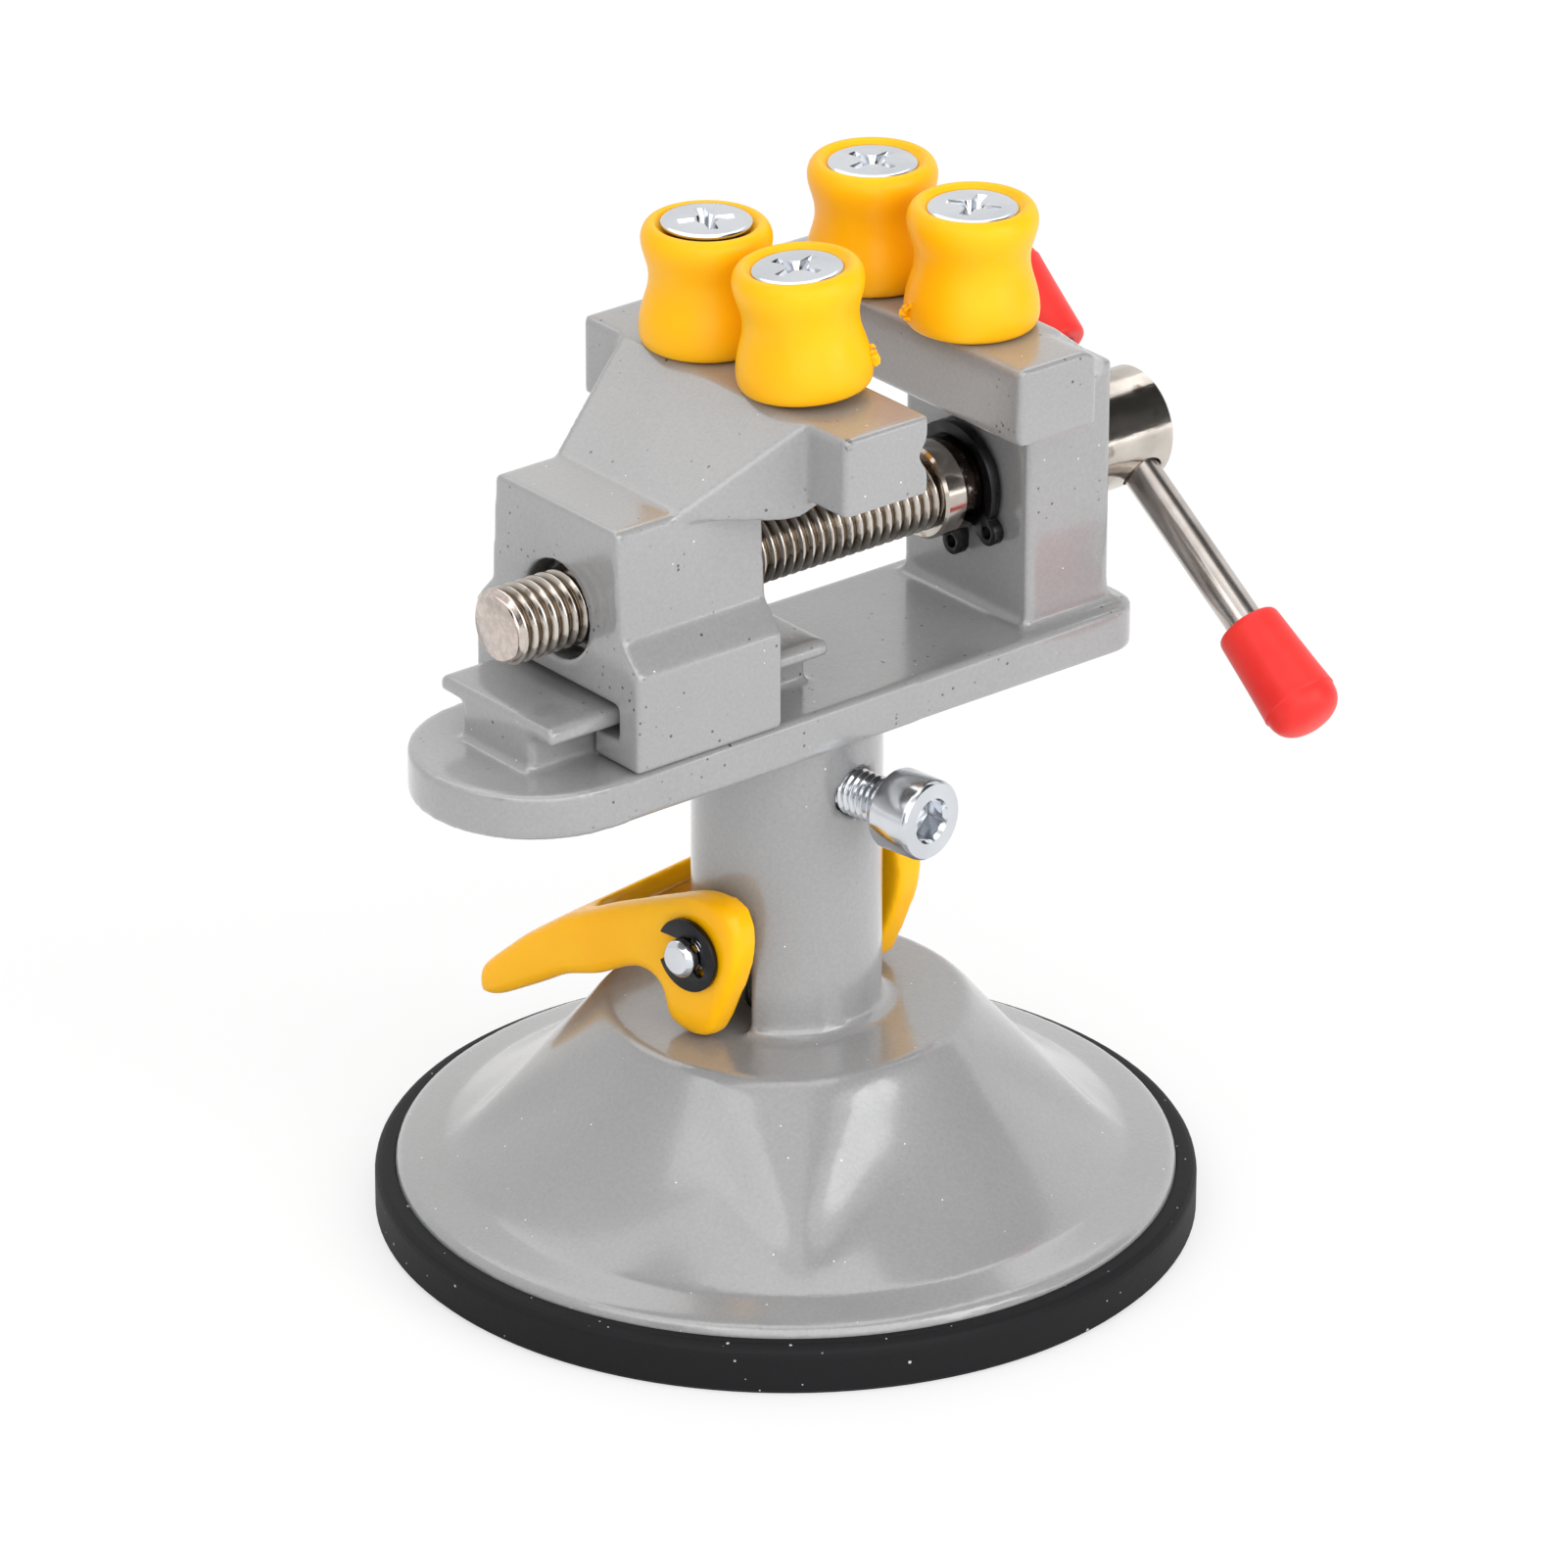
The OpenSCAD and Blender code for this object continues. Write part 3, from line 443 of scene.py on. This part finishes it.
def rubberMaterial():
    mat, tree, shader = newMaterial("blackRubber")
    coords = objectCoords(tree)
    coarse = specksOn(tree, coords, *cupRubber["coarse"])
    dust = mathOn(tree, "MAXIMUM", coarse, specksOn(tree, coords, *cupRubber["fine"]))
    tone = mixColour(tree, dust, cupRubber["colour"], cupRubber["dust"])
    link(tree, tone, shader.inputs["Base Color"])
    shader.inputs["Roughness"].default_value = cupRubber["roughness"]
    shader.inputs["Specular IOR Level"].default_value = 0.22
    bumpOn(tree, shader, noiseOn(tree, coords, cupRubber["skinScale"], 4, 0.6), 0.2, 0.2 * mm)
    return mat


greyPaint = paintedCasting()
yellowPlastic = plasticMaterial("yellowPlastic")
leverPlastic = plasticMaterial("leverPlastic")
redVinyl = plasticMaterial("redVinyl")
nickel = metalMaterial("nickelPlate")
barNickel = metalMaterial("barNickel")
screwNickel = metalMaterial("screwNickel")
zinc = metalMaterial("zincPlate")
steel = metalMaterial("turnedSteel")
blackOxide = metalMaterial("blackOxide")
rubber = rubberMaterial()
print("materials ready")

nodeFinish = {
    "base_casting": greyPaint, "vise_frame": greyPaint, "movable_jaw": greyPaint,
    "suction_cup": rubber, "pull_stem": steel, "return_spring": steel, "lever_pin": zinc,
    "pin_clip_near": blackOxide, "pin_clip_far": blackOxide, "cam_lever": leverPlastic,
    "clamp_screw": zinc, "lead_screw": nickel, "retaining_ring": blackOxide, "tommy_bar": nickel,
    "bar_cap_near": redVinyl, "bar_cap_far": redVinyl, "fixed_bobbin_near": yellowPlastic,
    "fixed_bobbin_far": yellowPlastic, "movable_bobbin_near": yellowPlastic,
    "movable_bobbin_far": yellowPlastic, "fixed_bobbin_screws": zinc, "movable_bobbin_screws": zinc,
}
for nodeName, material in nodeFinish.items():
    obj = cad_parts[nodeName]
    obj.data.materials.clear()
    obj.data.materials.append(material)

# Castings: voxel size in mm, and rounds of smoothing
castings = {
    "base_casting": {"name": "baseCasting", "body": "base", "voxel": 0.485, "rounds": 2},
    "vise_frame": {"name": "viseFrame", "body": "head", "voxel": 0.34, "rounds": 12},
    "movable_jaw": {"name": "movableJaw", "body": "jaw", "voxel": 0.3, "rounds": 12},
    "cam_lever": {"name": "camLever", "body": "lever", "voxel": 0.22, "rounds": 55},
}
scoops = [
    {"inner": 20.2, "outer": 34.6, "low": 7.6, "high": 22.7, "rounds": 82},
    {"inner": 18.4, "outer": 24, "low": 18, "high": 24, "rounds": 7},
]
leverTip = [(8, 30), (6, 40), (4.5, 50)]  # length from the end in mm, and rounds


def relaxWhere(obj, chosen, rounds):
    # Only the vertices that pass the test are smoothed by hand; it is given their place in mm
    editMode(obj)
    bpy.ops.mesh.select_all(action="DESELECT")
    mesh = bmesh.from_edit_mesh(obj.data)
    for v in mesh.verts:
        v.select = chosen(*(c / mm for c in v.co))
    mesh.select_flush_mode()
    bmesh.update_edit_mesh(obj.data)
    bpy.ops.mesh.vertices_smooth(factor=0.5, repeat=rounds)
    objectMode()


for nodeName, look in castings.items():
    piece = castPiece(nodeName, look["name"], look["voxel"], look["rounds"])
    if nodeName == "base_casting":
        # The cone's hollows run softly into its ribs
        for zone in scoops:
            relaxWhere(piece, lambda x, y, z: zone["inner"] < math.hypot(x, y) < zone["outer"]
                       and zone["low"] < z < zone["high"], zone["rounds"])
    if nodeName == "cam_lever":
        # Ever shorter lengths give the lever's tip a round nose
        for reach, rounds in leverTip:
            end = min(v.co.x for v in piece.data.vertices) / mm
            relaxWhere(piece, lambda x, y, z: x < end + reach, rounds)
    finishPiece(piece, look["body"], nodeFinish[nodeName], nodeName, nodeName)


# Turned and threaded pieces
def curveThrough(points, count):
    # Soft line through the corners of an outline, ends kept
    out = []
    last = len(points) - 1
    for i in range(last):
        p0, p1, p2, p3 = (Vector((*points[max(0, min(last, i + k))], 0)) for k in (-1, 0, 1, 2))
        for j in range(count):
            t = j / count
            a = 2 * p1 + (p2 - p0) * t + (2 * p0 - 5 * p1 + 4 * p2 - p3) * t * t
            v = 0.5 * (a + (3 * p1 - p0 - 3 * p2 + p3) * t ** 3)
            out.append((v.x, v.y))
    out.append(points[-1])
    return out


def cutWith(obj, tool, kind="DIFFERENCE"):
    cut = obj.modifiers.new("cut", "BOOLEAN")
    cut.operation = kind
    cut.solver = "EXACT"
    cut.object = tool
    applyModifiers(obj)
    dropAll()
    tool.select_set(True)
    bpy.ops.object.delete()


def joinInto(obj, others):
    dropAll()
    for o in others:
        o.select_set(True)
    obj.select_set(True)
    bpy.context.view_layer.objects.active = obj
    bpy.ops.object.join()


def threadedRod(name, size, start, length):
    # A tooth drawn once, wound along X, closed, and trimmed by a turned blank
    crest, root, pitch = size["crest"], size["root"], size["pitch"]
    first = start - 2 * pitch
    teeth = [(0, root), (0.12, root), (0.22, root + 0.1), (0.42, crest - 0.08), (0.5, crest)]
    teeth += [(0.6, crest), (0.68, crest - 0.08), (0.88, root + 0.1), (1, root)]
    rod = vertexStart(name, (first, 0, root))
    drawLine([(first + t * pitch, 0, r) for t, r in teeth])
    objectMode()
    wind = rod.modifiers.new("wind", "SCREW")
    wind.axis = "X"
    wind.angle = 2 * math.pi
    wind.screw_offset = pitch * mm
    wind.iterations = int(length / pitch) + 4
    wind.steps = size["steps"]
    wind.render_steps = size["steps"]
    wind.use_merge_vertices = True
    wind.merge_threshold = 0.003 * mm
    applyModifiers(rod)
    editMode(rod)
    bpy.ops.mesh.select_all(action="SELECT")
    bpy.ops.mesh.remove_doubles(threshold=0.003 * mm)
    bpy.ops.mesh.fill_holes(sides=0)
    bpy.ops.mesh.select_all(action="SELECT")
    bpy.ops.mesh.normals_make_consistent(inside=False)
    objectMode()
    c = size["chamfer"]
    blank = turnedPiece("blank", [(0, start), (crest - c, start), (crest + 0.02, start + c * 0.8),
                                  (crest + 0.02, start + length), (0, start + length)], 64)
    placeMesh(blank, turnTo((1, 0, 0), (0, 0, 0)))
    cutWith(rod, blank, "INTERSECT")
    smoothPiece(rod, 40)
    return rod


bobbinShape = {
    "outline": [(2.05, 0), (5.6, 0), (6.45, 0.3), (6.78, 1.0), (6.83, 2.0), (6.7, 3.1), (6.43, 4.2),
                (6.14, 5.2), (5.92, 6.1), (5.83, 7.0), (5.88, 7.9), (6.08, 8.8), (6.35, 9.7),
                (6.57, 10.6), (6.61, 11.4), (6.43, 12.1), (6.1, 12.6), (5.7, 12.84), (5.3, 12.8),
                (5.0, 12.55), (4.75, 12.35), (4.55, 12.2), (2.05, 9.7)],
    "movable": (-4.15, 94.6),
    "fixed": (17.25, 96.1),
    "side": 7.8,
    "flash": {"movable_bobbin_near": (-48, 2.6), "fixed_bobbin_near": (158, 1.9)},
    "askew": {"node": "movable_bobbin_near", "lean": -4, "lift": 0.45, "about": (0.633, 0.774, 0)},
}


def flashNub(angle, height, seed):
    # Torn bit of moulding flash left on the rim
    nubs = []
    for k, (lift, size) in enumerate(((0, 0.5), (0.5, 0.42), (-0.45, 0.34), (0.95, 0.24))):
        dropAll()
        bpy.ops.mesh.primitive_ico_sphere_add(subdivisions=2, radius=size * mm, location=(0, 0, 0))
        nub = bpy.context.active_object
        editMode(nub)
        bpy.ops.mesh.select_all(action="SELECT")
        bpy.ops.transform.resize(value=(1.5, 0.8, 1.2))
        bpy.ops.transform.vertex_random(offset=0.2 * mm, uniform=0.5, normal=0.4, seed=seed + k)
        objectMode()
        a = math.radians(angle + 2.5 * k)
        reach = rimRadius - 0.12 * abs(lift)
        spot = (reach * math.cos(a), reach * math.sin(a), height + lift)
        placeMesh(nub, Matrix.Translation(Vector(spot) * mm) @ Matrix.Rotation(a, 4, "Z"))
        nubs.append(nub)
    return nubs


def bobbinPlace(node, x, sign, z):
    # One bobbin stands slightly askew on its screw
    place = Matrix.Translation(Vector((x, sign * bobbinShape["side"], z)) * mm)
    if node != bobbinShape["askew"]["node"]:
        return place
    askew = bobbinShape["askew"]
    lean = Matrix.Rotation(math.radians(askew["lean"]), 4, Vector(askew["about"]))
    return place @ Matrix.Translation((0, 0, askew["lift"] * mm)) @ lean


seed = 3
for jaw, body in (("movable", "jaw"), ("fixed", "head")):
    for side, sign in (("near", -1), ("far", 1)):
        node = jaw + "_bobbin_" + side
        lathe = curveThrough(bobbinShape["outline"][1:-1], 3)
        bore = bobbinShape["outline"][0]
        outline = [bore] + lathe + [bobbinShape["outline"][-1], bore]
        piece = turnedPiece(jaw + "Bobbin" + side.capitalize(), outline, 72)
        if node in bobbinShape["flash"]:
            joinInto(piece, flashNub(*bobbinShape["flash"][node], seed))
            seed += 9
        smoothPiece(piece, 50)
        x, z = bobbinShape[jaw]
        placeMesh(piece, bobbinPlace(node, x, sign, z))
        finishPiece(piece, body, yellowPlastic, "bobbins", node)
print("bobbins turned")

crossScrew = {
    "head": 4.6,
    "face": 12.6,
    "wing": 3.6,
    "slot": 0.7,
    "depth": 1.5,
    "foot": (0.6, 0.5),  # how far each wing narrows towards its bottom
    "centre": [(0, -1.8), (0.5, -1.6), (1.3, 0.2), (0, 0.2)],
    "edge": 0.07,
    "turns": {"movable": (12, -24), "fixed": (31, 8)},
    "proud": {"movable_bobbin_far": 0.5},
}


def crossRecess(top):
    # Four wings that narrow downwards, round a tapered centre
    parts = []
    for angle in (0, 90):
        dropAll()
        bpy.ops.mesh.primitive_cube_add(size=2 * mm, location=(0, 0, 0))
        wing = bpy.context.active_object
        editMode(wing)
        bpy.ops.mesh.select_all(action="SELECT")
        bpy.ops.transform.resize(value=(crossScrew["wing"], crossScrew["slot"], crossScrew["depth"]))
        bpy.ops.mesh.select_all(action="DESELECT")
        mesh = bmesh.from_edit_mesh(wing.data)
        for f in mesh.faces:
            f.select = f.normal.z < -0.5
        bmesh.update_edit_mesh(wing.data)
        bpy.ops.transform.resize(value=(*crossScrew["foot"], 1))
        objectMode()
        placeMesh(wing, Matrix.Translation((0, 0, top * mm)) @ Matrix.Rotation(math.radians(angle), 4, "Z"))
        parts.append(wing)
    centre = turnedPiece("centre", [(r, top + z) for r, z in crossScrew["centre"]], 24)
    return parts + [centre]


for jaw, body in (("movable", "jaw"), ("fixed", "head")):
    screws = []
    x, z = bobbinShape[jaw]
    for side, sign, turnBy in zip(("near", "far"), (-1, 1), crossScrew["turns"][jaw]):
        r, face = crossScrew["head"], crossScrew["face"]
        screw = turnedPiece("screw", [(0, -6), (1.5, -6), (2, -5.5), (2, face - 3), (r - 0.25, face - 0.55),
                                      (r, face - 0.4), (r, face - 0.2), (r - 0.18, face - 0.04),
                                      (r - 0.5, face), (2.9, face + 0.02), (0, face + 0.03)], 64)
        for tool in crossRecess(face):
            cutWith(screw, tool)
        edge = screw.modifiers.new("edge", "BEVEL")
        edge.width = crossScrew["edge"] * mm
        edge.segments = 2
        edge.angle_limit = math.radians(50)
        applyModifiers(screw)
        smoothPiece(screw, 35)
        spin = Matrix.Rotation(math.radians(turnBy), 4, "Z")
        node = jaw + "_bobbin_" + side
        proud = Matrix.Translation((0, 0, crossScrew["proud"].get(node, 0) * mm))
        placeMesh(screw, bobbinPlace(node, x, sign, z) @ proud @ spin)
        screws.append(screw)
    joinInto(screws[0], screws[1:])
    screws[0].name = jaw + "BobbinScrews"
    finishPiece(screws[0], body, zinc, "bobbin_screws", jaw + "_bobbin_screws")
print("cross screws cut")

leadScrew = {
    "thread": {"crest": 4.0, "root": 3.32, "pitch": 1.25, "steps": 40, "chamfer": 0.75},
    "start": -37.0,
    "journal": 16.8,
    "shoulders": [(3.3, 14.0), (3.3, 16.8), (4.7, 16.8), (5, 17.1), (5, 21.3), (4.4, 21.3),
                  (4.4, 22.6), (5, 22.6), (5, 34.8), (5.5, 34.8), (6, 35.2), (6, 46.1),
                  (5.5, 46.6), (0, 46.6), (0, 14.0)],
    "bar": 43.0,
    "drill": [(0, -8), (3.2, -8), (2.05, -5.3), (2.05, 5.3), (3.2, 8), (0, 8)],
}
threadLength = leadScrew["journal"] - leadScrew["start"]
rod = threadedRod("leadScrew", leadScrew["thread"], leadScrew["start"], threadLength)
shaft = turnedPiece("shaft", leadScrew["shoulders"], 96)
placeMesh(shaft, turnTo((1, 0, 0), (0, 0, 0)))
tilt = math.radians(barTilt)
alongBar = (0, -math.cos(tilt), -math.sin(tilt))
drill = turnedPiece("drill", leadScrew["drill"], 40)
placeMesh(drill, turnTo(alongBar, (leadScrew["bar"], 0, 0)))
cutWith(shaft, drill)
smoothPiece(shaft, 35)
joinInto(rod, [shaft])
placeMesh(rod, Matrix.Translation((0, 0, screwHeight * mm)))
finishPiece(rod, "screw", screwNickel, "lead_screw", "lead_screw")
print("lead screw cut", len(rod.data.polygons))

clampScrew = {
    "thread": {"crest": 2.5, "root": 2.06, "pitch": 0.8, "steps": 32, "chamfer": 0.4},
    "head": [(2.0, 14.0), (2.4, 14.8), (3.9, 14.8), (4.15, 14.95), (4.25, 15.2), (4.25, 19.2),
             (4.18, 19.5), (3.95, 19.8), (0, 19.8), (0, 14.0)],
    "height": 49.6,
    "start": 6.15,
    "length": 8.7,
    "face": 19.8,
    "socket": 2.33,
    "socketDepth": 5.2,  # twice the depth, as the tool is centred on the face
    "socketTurn": 11,
    "lead": [(0, 19.3), (2.15, 19.3), (2.6, 20.2), (0, 20.2)],
    "turn": 8,
}
rod = threadedRod("clampScrew", clampScrew["thread"], clampScrew["start"], clampScrew["length"])
head = turnedPiece("head", clampScrew["head"], 72)
placeMesh(head, turnTo((1, 0, 0), (0, 0, 0)))
dropAll()
bpy.ops.mesh.primitive_cylinder_add(vertices=6, radius=clampScrew["socket"] * mm,
                                    depth=clampScrew["socketDepth"] * mm, location=(0, 0, 0))
socket = bpy.context.active_object
editMode(socket)
bpy.ops.mesh.select_all(action="SELECT")
bpy.ops.mesh.bevel(offset=0.12 * mm, segments=2, affect="EDGES")
objectMode()
socketTurn = Matrix.Rotation(math.radians(clampScrew["socketTurn"]), 4, "Z")
placeMesh(socket, turnTo((1, 0, 0), (clampScrew["face"], 0, 0)) @ socketTurn)
cutWith(head, socket)
lead = turnedPiece("lead", clampScrew["lead"], 48)
placeMesh(lead, turnTo((1, 0, 0), (0, 0, 0)))
cutWith(head, lead)
smoothPiece(head, 32)
joinInto(rod, [head])
toNear = Matrix.Rotation(math.radians(clampScrew["turn"] - 90), 4, "Z")
placeMesh(rod, Matrix.Translation((0, 0, clampScrew["height"] * mm)) @ toNear)
finishPiece(rod, "clamp", zinc, "clamp_screw", "clamp_screw")
print("clamp screw cut", len(rod.data.polygons))

barCap = {
    "outline": [(1.9, 18.25), (2.6, 18.2), (3.2, 18.35), (3.42, 18.7), (3.5, 19.6), (3.66, 22.4),
                (3.85, 25.4), (3.99, 27.3), (4.05, 28.0), (4.07, 28.25), (3.96, 28.4), (3.94, 28.6),
                (3.86, 29.15), (3.62, 29.8), (3.15, 30.4), (2.4, 30.88), (1.4, 31.16), (0.02, 31.25)],
    "inside": [(0, 31.25), (0, 26.75), (1.9, 26.75), (1.9, 18.15)],
}
tommyBar = {
    "outline": [(0, -26.7), (1.7, -26.7), (2, -26.4), (2, 26.4), (1.7, 26.7), (0, 26.7)],
    "shift": 7.75,  # towards its near end
}
middleOfBar = Vector((leadScrew["bar"], 0, screwHeight)) + tommyBar["shift"] * Vector(alongBar)
for side, sign in (("near", 1), ("far", -1)):
    lathe = curveThrough(barCap["outline"], 3)
    cap = turnedPiece("barCap" + side.capitalize(), lathe + barCap["inside"], 64)
    smoothPiece(cap, 60)
    placeMesh(cap, turnTo([sign * c for c in alongBar], middleOfBar))
    finishPiece(cap, "bar", redVinyl, "bar_caps", "bar_cap_" + side)
bar = turnedPiece("tommyBar", tommyBar["outline"], 48)
smoothPiece(bar, 35)
placeMesh(bar, turnTo(alongBar, middleOfBar))
finishPiece(bar, "bar", barNickel, "tommy_bar", "tommy_bar")
print("handle done")

# Clips and ring, with eased edges
for node, name, body, slotName in (("pin_clip_near", "pinClipNear", "stem", "pin_clips"),
                                   ("pin_clip_far", "pinClipFar", "stem", "pin_clips"),
                                   ("retaining_ring", "retainingRing", "screw", "retaining_ring"),
                                   ("lever_pin", "leverPin", "stem", "lever_pin")):
    piece = copyNode(node, name)
    editMode(piece)
    bpy.ops.mesh.select_all(action="SELECT")
    bpy.ops.mesh.dissolve_limited(angle_limit=math.radians(1))
    objectMode()
    edge = piece.modifiers.new("edge", "BEVEL")
    edge.width = 0.12 * mm
    edge.segments = 2
    edge.angle_limit = math.radians(40)
    applyModifiers(piece)
    smoothPiece(piece, 35)
    finishPiece(piece, body, nodeFinish[node], slotName, node)
print("small pieces eased")

# Camera
shot = {
    "place": (-0.55665, -0.68105, 0.4617),
    "azimuth": -39.241,
    "elevation": 25.223,
    "roll": 0.165,
    "lens": 219.8,
}
camera = bpy.data.objects.new("camera", bpy.data.cameras.new("camera"))
bpy.context.scene.collection.objects.link(camera)
camera.data.lens = shot["lens"]
camera.data.sensor_width = 36
camera.data.clip_start = 0.05
camera.data.clip_end = 20
turn = Matrix.Rotation(math.radians(shot["azimuth"]), 4, "Z")
tip = Matrix.Rotation(math.radians(90 - shot["elevation"]), 4, "X")
roll = Matrix.Rotation(math.radians(shot["roll"]), 4, "Z")
camera.matrix_world = Matrix.Translation(shot["place"]) @ turn @ tip @ roll
bpy.context.scene.camera = camera

# Floor, lamps and sky
middle = (0, 0, 0.05)  # what the lamps and cards face, in metres
stageSetup = {
    "floor": 3.0,
    "floorWhite": 0.62,  # share of plain white that the camera sees, the rest keeps the shadow
    "sky": 0.56,
}
lamps = {
    "keyLamp": {"place": (-0.75, -0.15, 0.75), "size": (0.7, 0.5), "power": 1.6},
    "sideLamp": {"place": (0.455, -1.1, 0.455), "size": (0.75, 1.1), "power": 7.6},
    "frontLamp": {"place": (-0.63, -1.05, 0.65), "size": (1.4, 1.2), "power": 8.0},
    "topLamp": {"place": (0.1, 0.2, 0.95), "size": (1.2, 1.2), "power": 4.4},
}
# Dark cards that give the plated pieces their dark bands
cards = {
    "highCard": {"place": (0.1, -0.42, 0.78), "size": (0.5, 0.16)},
    "leftCard": {"place": (-0.75, -0.25, 0.2), "size": (0.12, 0.5)},
    "rightCard": {"place": (0.3, -0.7, 0.12), "size": (0.25, 0.3)},
    "screwCard": {"place": (0.54, -0.38, 0.58), "size": (0.7, 1.15)},
}
dropAll()
bpy.ops.mesh.primitive_plane_add(size=stageSetup["floor"], location=(0, 0, 0))
floor = bpy.context.active_object
floor.name = "floor"
mat, tree, shader = newMaterial("paleFloor")
shader.inputs["Base Color"].default_value = (0.9, 0.9, 0.9, 1)
shader.inputs["Roughness"].default_value = 0.9
paths = tree.nodes.new("ShaderNodeLightPath")
white = tree.nodes.new("ShaderNodeEmission")
white.inputs["Strength"].default_value = 1
mix = tree.nodes.new("ShaderNodeMixShader")
output = next(n for n in tree.nodes if n.type == "OUTPUT_MATERIAL")
link(tree, shader.outputs[0], mix.inputs[1])
link(tree, white.outputs[0], mix.inputs[2])
share = mathOn(tree, "MULTIPLY", paths.outputs["Is Camera Ray"], stageSetup["floorWhite"])
link(tree, share, mix.inputs[0])
link(tree, mix.outputs[0], output.inputs["Surface"])
floor.data.materials.append(mat)


def facing(place, away=1):
    # Looks at the middle: a lamp shines down its own -Z, a card has its face up its own +Z
    aim = away * (Vector(place) - Vector(middle))
    return Matrix.Translation(place) @ aim.to_track_quat("Z", "Y").to_matrix().to_4x4()


for name, lamp in lamps.items():
    data = bpy.data.lights.new(name, "AREA")
    data.shape = "RECTANGLE"
    data.size, data.size_y = lamp["size"]
    data.energy = lamp["power"]
    obj = bpy.data.objects.new(name, data)
    bpy.context.scene.collection.objects.link(obj)
    obj.visible_camera = False
    obj.matrix_world = facing(lamp["place"])

mat, tree, shader = newMaterial("cardBlack")
shader.inputs["Base Color"].default_value = (0.02, 0.02, 0.02, 1)
shader.inputs["Roughness"].default_value = 0.8
for name, look in cards.items():
    dropAll()
    bpy.ops.mesh.primitive_plane_add(size=1, location=(0, 0, 0))
    card = bpy.context.active_object
    card.name = name
    editMode(card)
    bpy.ops.mesh.select_all(action="SELECT")
    bpy.ops.transform.resize(value=(*look["size"], 1))
    objectMode()
    placeMesh(card, facing(look["place"], -1))
    card.data.materials.append(mat)
    card.visible_camera = False
    card.visible_diffuse = False
    card.visible_shadow = False

world = bpy.data.worlds.new("studio")
bpy.context.scene.world = world
world.use_nodes = True
tree = world.node_tree
tree.nodes.clear()
sky = tree.nodes.new("ShaderNodeBackground")
sky.inputs["Color"].default_value = (1, 1, 1, 1)
paths = tree.nodes.new("ShaderNodeLightPath")
shown = mathOn(tree, "MAXIMUM", paths.outputs["Is Camera Ray"], paths.outputs["Is Glossy Ray"])
shown = mathOn(tree, "MAXIMUM", shown, paths.outputs["Is Transmission Ray"])
seen = mathOn(tree, "MAXIMUM", shown, stageSetup["sky"])
link(tree, seen, sky.inputs["Strength"])
worldOut = tree.nodes.new("ShaderNodeOutputWorld")
link(tree, sky.outputs[0], worldOut.inputs["Surface"])
bpy.context.scene.view_settings.view_transform = "Standard"

dropAll()
